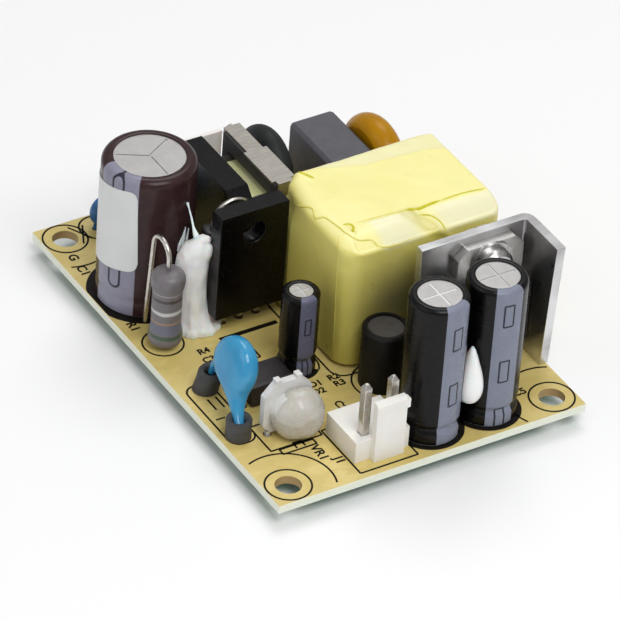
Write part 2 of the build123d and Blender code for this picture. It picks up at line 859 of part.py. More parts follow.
def make_bobbin_pins():
    """The pins below the transformer's rails and the line filter's posts."""
    with BuildPart() as pins:
        straight_leads(transformer_leads, pin_width, pin_width, rail_bottom)
        straight_leads(filter_leads, pin_width, pin_width, filter_post_bottom)
    return pins


def make_filter_core_half(side):
    """One E-shaped half of the line filter's core, standing on edge."""
    half = filter_core_length / 2
    window = (filter_core_height - filter_centre_leg) / 2 - filter_leg
    window_z = (filter_centre_leg + window) / 2
    with BuildPart() as core:
        with BuildSketch(upright(filter_x, filter_y)):
            with Locations((side * half / 2, filter_z)):
                Rectangle(half, filter_core_height)
            with Locations((0, filter_z - window_z), (0, filter_z + window_z)):
                Rectangle(2 * filter_half, window, mode=Mode.SUBTRACT)
        extrude(amount=filter_core_depth / 2, both=True)
    return core


def make_filter_bobbin():
    """The line filter's bobbin: a tube, two flanges and four posts down to the pins."""
    bore_y = filter_core_depth + 2 * filter_clearance
    bore_z = filter_centre_leg + 2 * filter_clearance
    length = 2 * (filter_half - filter_clearance)
    ends = about(filter_x, length)
    with BuildPart() as bobbin:
        block(ends, about(filter_y, bore_y + 2 * filter_tube_wall),
              about(filter_z, bore_z + 2 * filter_tube_wall))
        for side in (-1, 1):
            block(about(filter_x + side * (length - filter_flange) / 2, filter_flange),
                  about(filter_y, filter_flange_width), about(filter_z, filter_flange_height))
        block(ends, about(filter_y, bore_y), about(filter_z, bore_z), Mode.SUBTRACT)
        for x, y in filter_leads:
            side = 1 if x > filter_x else -1
            inner = filter_x + side * (length - filter_flange) / 2
            outer = x + side * filter_post / 2
            block(sorted((inner, outer)), about(y, filter_post), (filter_post_bottom, filter_post_top))
    return bobbin


def make_filter_winding():
    """The line filter's two windings under one layer of tape."""
    wall = filter_clearance + filter_tube_wall + fit_clearance
    ends = about(filter_x, 2 * (filter_half - filter_clearance - filter_flange - fit_clearance))
    with BuildPart() as winding:
        block(ends, about(filter_y, filter_flange_width - 2 * filter_winding_inset),
              about(filter_z, filter_winding_height))
        fillet(winding.edges().filter_by(Axis.X), filter_post / 2)
        block(ends, about(filter_y, filter_core_depth + 2 * wall),
              about(filter_z, filter_centre_leg + 2 * wall), Mode.SUBTRACT)
    return winding


def make_filter_clip():
    """The sheet clip that holds the two core halves together."""
    half = filter_core_length / 2
    outer = half + clip_thickness
    top = filter_core_bottom + filter_core_height
    with BuildPart() as clip:
        with BuildSketch(upright(filter_x, filter_y)):
            with BuildLine():
                Polyline(
                    (-half, top), (half, top), (half, top - clip_drop), (outer, top - clip_drop),
                    (outer, top + clip_thickness), (-outer, top + clip_thickness),
                    (-outer, top - clip_drop), (-half, top - clip_drop), close=True,
                )
            make_face()
        extrude(amount=clip_width / 2, both=True)
        ear_end = filter_x + half - clip_thickness
        block((ear_end - clip_ear_length, ear_end), about(filter_y, clip_ear_width),
              (top, top + clip_thickness))
    return clip


def make_boxed(x, y, length, width, bottom, top, edge, leads, lead_size):
    """A moulded box with softened edges and two leads."""
    with BuildPart() as boxed:
        block(about(x, length), about(y, width), (bottom, top))
        chamfer(boxed.edges().filter_by(Axis.Z), edge)
        chamfer(boxed.faces().sort_by(Axis.Z)[-1].edges(), edge)
        straight_leads(leads, lead_size, lead_size, bottom)
    return boxed


def make_disc(x, y, z, radius, thickness, edge, angle, leads):
    """A coated disc standing on edge with two straight leads."""
    normal = (-sin(radians(angle)), cos(radians(angle)), 0)
    along = (cos(radians(angle)), sin(radians(angle)), 0)
    with BuildPart() as disc:
        coated_disc(Plane(origin=(x, y, z), x_dir=along, z_dir=normal), radius, thickness, edge)
        posts(leads, wire_radius, 0, z - radius / 2)
    return disc


def make_bridge():
    """The flat rectifier bridge with one clipped corner that marks its polarity."""
    half = bridge_length / 2
    top = bridge_bottom + bridge_height
    outline = [
        (-half, bridge_bottom),
        (half, bridge_bottom),
        (half, top - bridge_chamfer),
        (half - bridge_chamfer, top),
        (-half, top),
    ]
    with BuildPart() as bridge:
        with BuildSketch(upright(bridge_x, bridge_y)):
            with BuildLine():
                Polyline(*outline, close=True)
            make_face()
        extrude(amount=bridge_thickness / 2, both=True)
    return bridge


def make_flat_leads(leads, top, along_x):
    """Flat leads of a package, from the underside of the board up to its body."""
    width, depth = flat_lead_thickness, flat_lead_width
    if along_x:
        width, depth = depth, width
    with BuildPart() as flat:
        straight_leads(leads, width, depth, top)
    return flat


def make_transistor():
    """A fully moulded power transistor with a hole through its thinner upper part."""
    x = transistor_face
    sides = about(transistor_y, transistor_width)
    bottom = transistor_bottom
    top = bottom + transistor_height
    body_top = bottom + transistor_body_height
    with BuildPart() as transistor:
        with BuildSketch(upright(x, transistor_y)):
            with BuildLine():
                Polyline(
                    (0, bottom), (0, top), (-transistor_tab, top),
                    (-transistor_tab, body_top + transistor_edge),
                    (transistor_edge - transistor_thickness, body_top),
                    (-transistor_thickness, body_top - transistor_edge),
                    (-transistor_thickness, bottom), close=True,
                )
            make_face()
        extrude(amount=(sides[1] - sides[0]) / 2, both=True)
        with BuildSketch(upright(x, transistor_y, 90)):
            with Locations((0, top - transistor_hole_drop)):
                Circle(transistor_hole_radius)
        extrude(amount=-transistor_tab, mode=Mode.SUBTRACT)
    return transistor


def make_snubber():
    """The snubber diode standing on end, with its lower lead and its looped upper lead."""
    top = snubber_bottom + snubber_length
    lead = loop_over(snubber_leads[0], snubber_leads[1], wire_radius, top, snubber_edge * 2,
                     snubber_loop_width)
    with BuildPart() as snubber:
        posts(snubber_leads[:1], snubber_radius, snubber_bottom, top)
        chamfer(snubber.faces().filter_by(Axis.Z).edges(), snubber_edge)
        posts(snubber_leads[:1], wire_radius, 0, snubber_bottom)
        add(lead.part)
    return snubber


def make_heatsink():
    """An L-shaped aluminium heatsink with two feet through the board and a screw hole."""
    face = heatsink_face
    back = face - heatsink_thickness
    inner = heatsink_end - heatsink_thickness
    with BuildPart() as heatsink:
        with BuildSketch(Plane.XY.offset(board_top)) as plan:
            with BuildLine():
                Polyline((back, heatsink_start), (face, heatsink_start), (face, inner),
                         (heatsink_flange_end, inner), (heatsink_flange_end, heatsink_end),
                         (back, heatsink_end), close=True)
            make_face()
            bend = plan.vertices().sort_by_distance((back, heatsink_end, 0))[0]
            fillet(bend, heatsink_bend)
            bend = plan.vertices().sort_by_distance((face, inner, 0))[0]
            fillet(bend, heatsink_inner_bend)
        extrude(amount=heatsink_top - board_top)
        with BuildSketch(Plane.XZ.offset(-inner)):
            with BuildLine():
                Polyline((heatsink_flange_end, board_top), (heatsink_flange_end, heatsink_top),
                         (heatsink_flange_end - heatsink_flange_taper, board_top), close=True)
            make_face()
        extrude(amount=-heatsink_thickness, mode=Mode.SUBTRACT)
        for x, y in heatsink_leads:
            block(about(x, heatsink_thickness), about(y, heatsink_foot_width), (0, board_top))
        with BuildSketch(upright(face, rectifier_y, 90)):
            with Locations((0, screw_z)):
                Circle(screw_hole_radius)
        extrude(amount=-heatsink_thickness, mode=Mode.SUBTRACT)
    return heatsink


def make_rectifier_tab():
    """The metal tab of the output rectifier, flat against the heatsink."""
    half = rectifier_width / 2
    top = rectifier_bottom + rectifier_height
    with BuildPart() as tab:
        with BuildSketch(upright(heatsink_face, rectifier_y, 90)):
            with BuildLine():
                Polyline(
                    (-half, rectifier_bottom), (half, rectifier_bottom), (half, top - tab_chamfer),
                    (half - tab_chamfer, top), (tab_chamfer - half, top), (-half, top - tab_chamfer),
                    close=True,
                )
            make_face()
            with Locations((0, screw_z)):
                Circle(screw_hole_radius, mode=Mode.SUBTRACT)
        extrude(amount=rectifier_tab)
    return tab


def make_rectifier_body():
    """The moulded body of the output rectifier, in front of its tab."""
    front = heatsink_face + rectifier_thickness
    top = rectifier_bottom + rectifier_body_height
    with BuildPart() as body:
        block((heatsink_face + rectifier_tab, front), about(rectifier_y, rectifier_width),
              (rectifier_bottom, top))
        chamfer(body.faces().sort_by(Axis.X)[-1].edges(), transistor_edge)
    return body


def make_screw():
    """A pan head screw along X, through the washer, the tab and the heatsink into its nut."""
    head = heatsink_face + rectifier_tab + washer_thickness
    end = heatsink_face - heatsink_thickness - nut_thickness
    with BuildPart() as screw:
        with BuildSketch(upright(head, rectifier_y, 90)):
            with Locations((0, screw_z)):
                Circle(screw_head_radius)
        extrude(amount=screw_head_height)
        chamfer(screw.faces().sort_by(Axis.X)[-1].edges(), screw_head_height / 3)
        with BuildSketch(upright(head + screw_head_height, rectifier_y, 90)):
            with Locations((0, screw_z)):
                Rectangle(screw_head_radius, screw_recess_width, rotation=45)
                Rectangle(screw_head_radius, screw_recess_width, rotation=135)
        extrude(amount=-screw_recess_depth, mode=Mode.SUBTRACT)
        with BuildSketch(upright(end, rectifier_y, 90)):
            with Locations((0, screw_z)):
                Circle(screw_radius)
        extrude(amount=head - end)
    return screw


def make_washer():
    """The washer under the screw's head."""
    with BuildPart() as washer:
        with BuildSketch(upright(heatsink_face + rectifier_tab, rectifier_y, 90)):
            with Locations((0, screw_z)):
                Circle(washer_radius)
                Circle(screw_hole_radius, mode=Mode.SUBTRACT)
        extrude(amount=washer_thickness)
    return washer


def make_nut():
    """The hexagon nut behind the heatsink."""
    with BuildPart() as nut:
        with BuildSketch(upright(heatsink_face - heatsink_thickness, rectifier_y, 90)):
            with Locations((0, screw_z)):
                RegularPolygon(nut_width / 2, 6, major_radius=False)
                Circle(screw_radius + fit_clearance, mode=Mode.SUBTRACT)
        extrude(amount=-nut_thickness)
    return nut


def make_optocoupler():
    """A four-pin optocoupler in a dual in-line package."""
    bottom = board_top + opto_standoff
    top = bottom + opto_height
    middle = (bottom + top) / 2
    with BuildPart() as opto:
        block(about(opto_x, opto_length), about(opto_y, opto_width), (bottom, top))
        chamfer(opto.faces().sort_by(Axis.Z)[-1].edges(), opto_edge)
        straight_leads(opto_leads, pin_width, opto_lead_thickness, middle + opto_lead_thickness)
        for x, y in opto_leads:
            side = 1 if y > opto_y else -1
            inner = opto_y + side * opto_width / 2
            block(about(x, pin_width), sorted((inner, y)), (middle, middle + opto_lead_thickness))
    return opto


def make_glue_column():
    """A drop of silicone glue that runs up beside the transistor."""
    with BuildPart() as glue:
        for x, y, height, radius in glue_rings:
            with BuildSketch(Plane.XY.offset(board_top + height)):
                with Locations((x, y)):
                    Circle(radius)
        loft(ruled=True)
        back = transistor_face - transistor_thickness - glue_clearance
        side = transistor_y - transistor_width / 2 - glue_clearance
        block((back, transistor_face), (side, transistor_y),
              (transistor_bottom - glue_clearance, transistor_bottom + transistor_height), Mode.SUBTRACT)
    return glue


def make_glue_fillet():
    """The drop of silicone glue in front of the groove between the two output capacitors."""
    middle = output_capacitor_y + output_capacitor_spacing / 2
    bottom = board_top + glue_blob_rings[0][0]
    top = board_top + glue_blob_rings[-1][0]
    with BuildPart() as glue:
        for height, radius in glue_blob_rings:
            with BuildSketch(Plane.XY.offset(board_top + height)):
                with Locations((glue_blob_x, middle)):
                    Circle(radius)
        loft()
        posts([(output_capacitor_x, output_capacitor_y), (output_capacitor_x, output_capacitor_b_y)],
              output_capacitor_radius + glue_clearance, bottom, top, Mode.SUBTRACT)
        block((output_capacitor_x - output_capacitor_radius, output_capacitor_x),
              about(middle, output_capacitor_spacing), (bottom, top), Mode.SUBTRACT)
    return glue


def make_controller():
    """The control chip on the underside, in an eight-lead surface package."""
    low = -controller_standoff - controller_height
    with BuildPart() as chip:
        block(about(controller_x, controller_length), about(controller_y, controller_width),
              (low, -controller_standoff))
        chamfer(chip.faces().sort_by(Axis.Z)[0].edges(), opto_edge)
        for x, y in row(controller_x, controller_y, controller_pitch, 4):
            block(about(x, controller_lead_width),
                  about(y, controller_width + 2 * controller_foot), (-controller_lead_thickness, 0))
    return chip


def make_chips(places, length, width, height, cap):
    """Surface chips with a slightly proud plated cap at each end."""
    with BuildPart() as chips:
        for x, y in places:
            block(about(x, length), about(y, width), (-height, -chip_plating))
            for side in (-1, 1):
                block(about(x + side * (length - cap) / 2, cap), about(y, width + 2 * chip_plating),
                      (-height - chip_plating, 0))
    return chips


finish(make_board(), "board")
finish(make_solder_joints(), "solder_joints")

for name, x, y, radius, height, lip, leads, vent_arms in [
    ("bulk_capacitor", bulk_x, bulk_y, bulk_radius, bulk_height, bulk_lip, bulk_leads, 3),
    ("output_capacitor_a", output_capacitor_x, output_capacitor_y, output_capacitor_radius,
     output_capacitor_height, output_capacitor_lip, output_leads_a, 4),
    ("output_capacitor_b", output_capacitor_x, output_capacitor_b_y, output_capacitor_radius,
     output_capacitor_height, output_capacitor_lip, output_leads_b, 4),
    ("supply_capacitor", supply_x, supply_y, supply_radius, supply_height, supply_lip,
     supply_leads, 4),
]:
    finish(make_can(x, y, radius, height, lip, leads, vent_arms), f"{name}_can")
    finish(make_can_sleeve(x, y, radius, height, lip), f"{name}_sleeve")
finish(make_label(), "rating_label")

finish(make_choke_core(), "output_choke_core")
finish(make_choke_winding(), "output_choke_winding")
finish(make_choke_sleeve(), "output_choke_sleeve")
finish(make_resistor(), "power_resistor")
finish(make_resistor_lead(), "power_resistor_lead")
finish(make_disc_capacitor(), "y_capacitor")
finish(make_disc_sleeves(), "y_capacitor_sleeves")
finish(make_trimmer_base(), "trimmer_base")
finish(make_trimmer_rotor(), "trimmer_rotor")
finish(make_trimmer_seal(), "trimmer_seal")
finish(make_header(output_header_face, output_header_y, output_header_ways, 1, output_header_leads),
       "output_header")
finish(make_header_pins(output_header_leads), "output_header_pins")
finish(make_header(input_header_face, input_header_y, input_header_ways, -1, input_header_leads),
       "input_header")
finish(make_header_pins(input_header_leads), "input_header_pins")

finish(make_wrap(), "transformer_wrap")
finish(make_core_half(-1), "transformer_core_half_a")
finish(make_core_half(1), "transformer_core_half_b")
finish(make_transformer_bobbin(), "transformer_bobbin")
finish(make_transformer_winding(), "transformer_winding")

finish(make_filter_core_half(-1), "line_filter_core_a")
finish(make_filter_core_half(1), "line_filter_core_b")
finish(make_filter_bobbin(), "line_filter_bobbin")
finish(make_filter_winding(), "line_filter_winding")
finish(make_bobbin_pins(), "bobbin_pins")
finish(make_filter_clip(), "line_filter_clip")

finish(make_boxed(xcap_x, xcap_y, xcap_length, xcap_width, board_top + xcap_standoff,
                  board_top + xcap_standoff + xcap_height, xcap_edge, xcap_leads, pin_width),
       "x_capacitor")
finish(make_boxed(fuse_x, fuse_y, fuse_length, fuse_width, board_top, board_top + fuse_height,
                  fuse_edge, fuse_leads, pin_width), "fuse")
finish(make_disc(varistor_x, varistor_y, varistor_z, varistor_radius, varistor_thickness,
                 varistor_edge, 0, varistor_leads), "varistor")
finish(make_disc(thermistor_x, thermistor_y, thermistor_z, thermistor_radius, thermistor_thickness,
                 thermistor_edge, 0, thermistor_leads), "thermistor")
finish(make_disc(input_disc_x, input_disc_y, input_disc_z, input_disc_radius, input_disc_thickness,
                 input_disc_edge, 90, input_disc_leads), "input_y_capacitor")

finish(make_bridge(), "bridge_rectifier")
finish(make_flat_leads(bridge_leads, bridge_bottom, True), "bridge_rectifier_leads")
finish(make_transistor(), "power_transistor")
finish(make_flat_leads(transistor_leads, transistor_bottom, False), "power_transistor_leads")
finish(make_snubber(), "snubber_diode")

finish(make_heatsink(), "heatsink")
finish(make_rectifier_tab(), "output_rectifier_tab")
finish(make_rectifier_body(), "output_rectifier")
finish(make_flat_leads(rectifier_leads, rectifier_bottom, False), "output_rectifier_leads")
finish(make_screw(), "heatsink_screw")
finish(make_washer(), "screw_washer")
finish(make_nut(), "heatsink_nut")

finish(make_optocoupler(), "optocoupler")
finish(make_glue_column(), "glue_column")
finish(make_glue_fillet(), "glue_fillet")
finish(make_controller(), "control_ic")
finish(make_chips(chip_resistor_places, chip_length, chip_width, chip_resistor_height, chip_cap),
       "chip_resistors")
finish(make_chips(chip_capacitor_places, chip_length, chip_width, chip_capacitor_height, chip_cap),
       "chip_capacitors")
finish(make_chips(surface_diode_places, diode_length, diode_width, diode_height, chip_cap),
       "surface_diodes")
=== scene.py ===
import json
from math import atan2, cos, hypot, pi, radians, sin, sqrt, tau

import bmesh
import bpy
import numpy as np
from mathutils import Matrix, Vector, noise
from mathutils.bvhtree import BVHTree


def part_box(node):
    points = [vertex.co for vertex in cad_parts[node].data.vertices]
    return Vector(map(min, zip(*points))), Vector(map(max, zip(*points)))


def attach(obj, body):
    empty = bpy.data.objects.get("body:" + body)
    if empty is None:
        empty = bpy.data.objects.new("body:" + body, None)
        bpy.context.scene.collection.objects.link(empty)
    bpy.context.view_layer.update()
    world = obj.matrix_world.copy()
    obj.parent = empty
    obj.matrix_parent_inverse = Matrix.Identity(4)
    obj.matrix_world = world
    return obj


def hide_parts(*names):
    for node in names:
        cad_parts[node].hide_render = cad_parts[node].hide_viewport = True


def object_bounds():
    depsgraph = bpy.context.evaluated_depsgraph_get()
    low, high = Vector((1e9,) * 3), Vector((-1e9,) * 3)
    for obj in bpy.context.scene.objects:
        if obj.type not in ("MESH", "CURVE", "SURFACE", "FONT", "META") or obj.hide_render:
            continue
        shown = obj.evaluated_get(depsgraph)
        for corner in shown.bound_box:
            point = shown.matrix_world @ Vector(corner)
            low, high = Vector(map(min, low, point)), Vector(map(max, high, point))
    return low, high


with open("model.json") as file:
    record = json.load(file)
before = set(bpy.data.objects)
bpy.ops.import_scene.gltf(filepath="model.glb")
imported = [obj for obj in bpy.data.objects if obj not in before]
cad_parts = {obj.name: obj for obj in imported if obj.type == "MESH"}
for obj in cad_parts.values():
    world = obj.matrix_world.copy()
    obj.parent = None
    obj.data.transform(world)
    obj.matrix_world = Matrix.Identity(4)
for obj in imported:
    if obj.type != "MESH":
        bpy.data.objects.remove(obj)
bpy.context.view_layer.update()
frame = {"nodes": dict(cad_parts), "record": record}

nodes = frame["nodes"]
scene = bpy.context.scene
MM = 0.001
UP = Vector((0, 0, 1))

# Camera, from the board's corners and holes in the photograph
PHOTO_SIZE = 620
FOCAL_PIXELS = 6058.0
CAMERA_AZIMUTH = radians(56.311)
CAMERA_ELEVATION = radians(37.437)
CAMERA_ROLL = radians(4.339)
CAMERA_OFFSET = Vector((-0.67885, -1.84029, -786.257)) * MM
SENSOR_WIDTH = 36.0

# Shapes that the CAD nodes leave out, in millimetres and degrees
SLEEVE_WALL = 0.12
GROOVE_HEIGHT = 2.4
GROOVE_HALF_WIDTH = 0.9
GROOVE_DEPTH = 0.32
BULK_GROOVE_DEPTH = 0.1
RESISTOR_STANDOFF = 0.4
RESISTOR_SHORT = 0.6
INPUT_DISC_PITCH = 5.0
INK_HEIGHT = 0.03
INK_LINE = 0.26
LABEL_START = 190.0
LABEL_SWEEP = 129.0
LABEL_CORNER = 1.3
LABEL_TILT = 0.165
LABEL_RISE = 0.85
LABEL_FACES = (0.02, 0.1)
BOARD_TOP = 1.2
HOLE_X, HOLE_Y = 28.575, 19.675
HOLE_RING = 3.0
KEEP_OUT = 6.2
FRONT_LEG = (17.4, -20.4)
REAR_LEG = (7.2, -19.3)
TAPE_INSET = 0.2
TAPE_CORNERS = (2.8, 1.6, 1.8, 2.9)
TAPE_SPACING = 0.22
TAPE_ROW = 0.27
TAPE_FOOT = 0.3

# Each light's name, azimuth, elevation, distance and size in metres, and power in watts
LIGHTS = (
    ("key", 88, 58, 0.55, 0.30, 1.55),
    ("fill", -5, 40, 0.7, 0.45, 0.55),
    ("back", -130, 60, 0.6, 0.3, 0.9),
)


def box_mm(node):
    """A node's lowest and highest corners, in millimetres."""
    low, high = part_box(node)
    return Vector(low) / MM, Vector(high) / MM


def middle(node):
    low, high = box_mm(node)
    return (low + high) / 2


def half_width(node):
    low, high = box_mm(node)
    return (high.x - low.x) / 2


def towards_camera():
    return Vector((sin(CAMERA_AZIMUTH) * cos(CAMERA_ELEVATION),
                   -cos(CAMERA_AZIMUTH) * cos(CAMERA_ELEVATION),
                   sin(CAMERA_ELEVATION)))


def make_camera():
    """The camera at the photograph's viewing angle."""
    back = towards_camera()
    right = UP.cross(back).normalized()
    up = back.cross(right)
    level = Matrix((right, up, back))
    turn = Matrix.Rotation(-CAMERA_ROLL, 3, "Z") @ level
    data = bpy.data.cameras.new("camera")
    data.sensor_width = SENSOR_WIDTH
    data.lens = FOCAL_PIXELS * SENSOR_WIDTH / PHOTO_SIZE
    camera = bpy.data.objects.new("camera", data)
    scene.collection.objects.link(camera)
    camera.matrix_world = Matrix.Translation(turn.transposed() @ -CAMERA_OFFSET) @ turn.transposed().to_4x4()
    scene.camera = camera


def make_light(name, azimuth, elevation, distance, size, power):
    """A soft square light that faces the object."""
    data = bpy.data.lights.new(name, "AREA")
    data.size = size
    data.energy = power
    light = bpy.data.objects.new(name, data)
    scene.collection.objects.link(light)
    away = Vector((sin(azimuth) * cos(elevation), -cos(azimuth) * cos(elevation), sin(elevation)))
    light.location = away * distance
    light.rotation_mode = "QUATERNION"
    light.rotation_quaternion = away.to_track_quat("Z", "Y")


def make_stage():
    """A plain pale floor, an even surround and three soft lights."""
    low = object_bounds()[0]
    bpy.ops.mesh.primitive_plane_add(size=4.0, location=(0, 0, low.z))
    floor = bpy.context.object
    floor.name = "floor"
    paint = Shader("floor", (0.93, 0.93, 0.935), roughness=0.6)
    floor.data.materials.append(paint.material)
    world = bpy.data.worlds.new("surround")
    world.use_nodes = True
    world.node_tree.nodes["Background"].inputs["Color"].default_value = (1, 1, 1, 1)
    world.node_tree.nodes["Background"].inputs["Strength"].default_value = 0.40
    scene.world = world
    scene.view_settings.view_transform = "Standard"
    for name, azimuth, elevation, distance, size, power in LIGHTS:
        make_light(name, radians(azimuth), radians(elevation), distance, size, power)


class Shader:
    """A material's node tree, with a short call for each kind of node."""

    def __init__(self, name, colour, roughness=0.5, metallic=0.0, **sockets):
        self.material = bpy.data.materials.new(name)
        self.material.use_nodes = True
        self.tree = self.material.node_tree
        self.bsdf = self.tree.nodes["Principled BSDF"]
        self.set("Base Color", (*colour, 1.0))
        self.set("Roughness", roughness)
        self.set("Metallic", metallic)
        for socket, value in sockets.items():
            self.set(socket.replace("_", " "), value)

    def set(self, socket, value):
        """Give a socket of the surface shader a number, a colour or another node's output."""
        self.feed(value, self.bsdf.inputs[socket])

    def feed(self, value, socket):
        if isinstance(value, bpy.types.NodeSocket):
            self.tree.links.new(value, socket)
        elif isinstance(value, (tuple, list)) and len(value) == 3 and socket.type == "RGBA":
            socket.default_value = (*value, 1.0)
        else:
            socket.default_value = value

    def node(self, kind, *inputs, **settings):
        made = self.tree.nodes.new(kind)
        for setting, value in settings.items():
            setattr(made, setting, value)
        for index, value in enumerate(inputs):
            if value is not None:
                self.feed(value, made.inputs[index])
        return made

    def math(self, operation, *values):
        return self.node("ShaderNodeMath", *values, operation=operation).outputs[0]

    def place(self, centre=(0, 0, 0)):
        """X, Y and Z outputs, in millimetres from a centre given in millimetres."""
        coordinates = self.node("ShaderNodeTexCoord").outputs["Object"]
        scaled = self.node("ShaderNodeVectorMath", coordinates, (1 / MM,) * 3, operation="MULTIPLY")
        moved = self.node("ShaderNodeVectorMath", scaled.outputs[0], tuple(centre), operation="SUBTRACT")
        return self.node("ShaderNodeSeparateXYZ", moved.outputs[0]).outputs

    def facing(self):
        """X, Y and Z outputs of the surface's normal."""
        normal = self.node("ShaderNodeNewGeometry").outputs["Normal"]
        return self.node("ShaderNodeSeparateXYZ", normal).outputs

    def blend(self, factor, a, b):
        """Colour a where the factor is 0 and colour b where it is 1."""
        mixed = self.node("ShaderNodeMix", data_type="RGBA")
        self.feed(factor, mixed.inputs["Factor"])
        self.feed(a, mixed.inputs[6])
        self.feed(b, mixed.inputs[7])
        return mixed.outputs[2]

    def steps(self, value, low, high, start=0.0, end=1.0):
        """A value mapped from one range to another and held at its ends."""
        return self.node("ShaderNodeMapRange", value, low, high, start, end).outputs[0]

    def within(self, value, low, high, soft=0.02):
        """1 between two values, with soft ends."""
        rise = self.steps(value, low - soft, low + soft)
        fall = self.steps(value, high - soft, high + soft, 1.0, 0.0)
        return self.math("MULTIPLY", rise, fall)

    def noise(self, per_mm, detail=3.0, roughness=0.5, stretch=(1, 1, 1)):
        """A noise whose features are about 1 / per_mm millimetres across."""
        coordinates = self.node("ShaderNodeTexCoord").outputs["Object"]
        mapped = self.node("ShaderNodeMapping", coordinates, None, None, stretch)
        made = self.node("ShaderNodeTexNoise", mapped.outputs[0])
        made.inputs["Scale"].default_value = per_mm / MM
        made.inputs["Detail"].default_value = detail
        made.inputs["Roughness"].default_value = roughness
        return made.outputs[0]

    def bump(self, height, depth_mm, strength=1.0):
        made = self.node("ShaderNodeBump")
        made.inputs["Strength"].default_value = strength
        made.inputs["Distance"].default_value = depth_mm * MM
        self.feed(height, made.inputs["Height"])
        self.set("Normal", made.outputs[0])

    def mottled(self, colour, other, per_mm, low=0.35, high=0.65, detail=4.0):
        """A soft mix of two colours."""
        return self.blend(self.steps(self.noise(per_mm, detail), low, high), colour, other)

    def uneven_gloss(self, roughness, spread=0.15, per_mm=1.6):
        low, high = roughness * (1 - spread), min(1.0, roughness * (1 + spread))
        self.set("Roughness", self.steps(self.noise(per_mm, 5.0), 0.3, 0.7, low, high))

    def outline(self, across, along, half_across, half_along, corner, line):
        """1 on the line of a rounded rectangle, from the distances to its centre."""
        out_x = self.math("SUBTRACT", self.math("ABSOLUTE", across), half_across - corner)
        out_y = self.math("SUBTRACT", self.math("ABSOLUTE", along), half_along - corner)
        far_x = self.math("MAXIMUM", out_x, 0.0)
        far_y = self.math("MAXIMUM", out_y, 0.0)
        square_x = self.math("MULTIPLY", far_x, far_x)
        square_y = self.math("MULTIPLY", far_y, far_y)
        far = self.math("SQRT", self.math("ADD", square_x, square_y))
        near = self.math("MINIMUM", self.math("MAXIMUM", out_x, out_y), 0.0)
        distance = self.math("SUBTRACT", self.math("ADD", far, near), corner)
        return self.steps(self.math("ABSOLUTE", distance), line / 2, line / 2 + 0.04, 1.0, 0.0)


def plain(name, colour, other, roughness, per_mm=0.8, metallic=0.0, grain_mm=0.004, **sockets):
    """A moulded or coated finish: slight colour variation, uneven gloss and a fine grain."""
    paint = Shader(name, colour, roughness, metallic, **sockets)
    paint.set("Base Color", paint.mottled(colour, other, per_mm))
    paint.uneven_gloss(roughness)
    paint.bump(paint.noise(6.0, 4.0), grain_mm)
    return paint.material


def laminate():
    """Tan-yellow board: clear resin over paper, pale cut edges, orange hole walls and a green underside."""
    paint = Shader("laminate", (0.6, 0.5, 0.25), 0.4)
    top = paint.mottled((0.66, 0.52, 0.17), (0.72, 0.58, 0.22), 0.25)
    tracks = paint.steps(paint.noise(0.55, 1.0, stretch=(1, 0.35, 1)), 0.5, 0.52)
    top = paint.blend(paint.math("MULTIPLY", tracks, 0.3), top, (0.56, 0.42, 0.12))
    speck = paint.steps(paint.noise(7.0, 2.0), 0.66, 0.74)
    top = paint.blend(paint.math("MULTIPLY", speck, 0.25), top, (0.42, 0.33, 0.14))
    x, y, z = paint.place()
    reach = paint.math("MAXIMUM", paint.math("SUBTRACT", paint.math("ABSOLUTE", x), 31.3),
                       paint.math("SUBTRACT", paint.math("ABSOLUTE", y), 22.4))
    edge = paint.blend(paint.steps(z, 0.1, 1.1), (0.80, 0.85, 0.74), (0.84, 0.84, 0.68))
    side = paint.blend(paint.math("GREATER_THAN", reach, 0.0), (0.46, 0.31, 0.13), edge)
    under = paint.mottled((0.03, 0.16, 0.07), (0.05, 0.24, 0.11), 0.5, 0.48, 0.52)
    facing = paint.facing()[2]
    colour = paint.blend(paint.steps(facing, 0.4, 0.6), side, top)
    colour = paint.blend(paint.steps(facing, -0.6, -0.4, 1.0, 0.0), colour, under)
    paint.set("Base Color", colour)
    paint.uneven_gloss(0.38)
    paint.bump(paint.noise(5.0, 3.0), 0.006)
    return paint.material


def brushed(name, colour, other, roughness, stretch, per_mm=5.0, depth_mm=0.006, **sockets):
    """Sheet metal with fine scratches along one direction."""
    paint = Shader(name, colour, roughness, 1.0, **sockets)
    scratch = paint.noise(per_mm, 3.0, stretch=stretch)
    paint.set("Base Color", paint.blend(paint.steps(scratch, 0.35, 0.65), colour, other))
    paint.set("Roughness", paint.steps(scratch, 0.3, 0.7, roughness * 0.8, roughness * 1.25))
    paint.bump(scratch, depth_mm)
    return paint.material


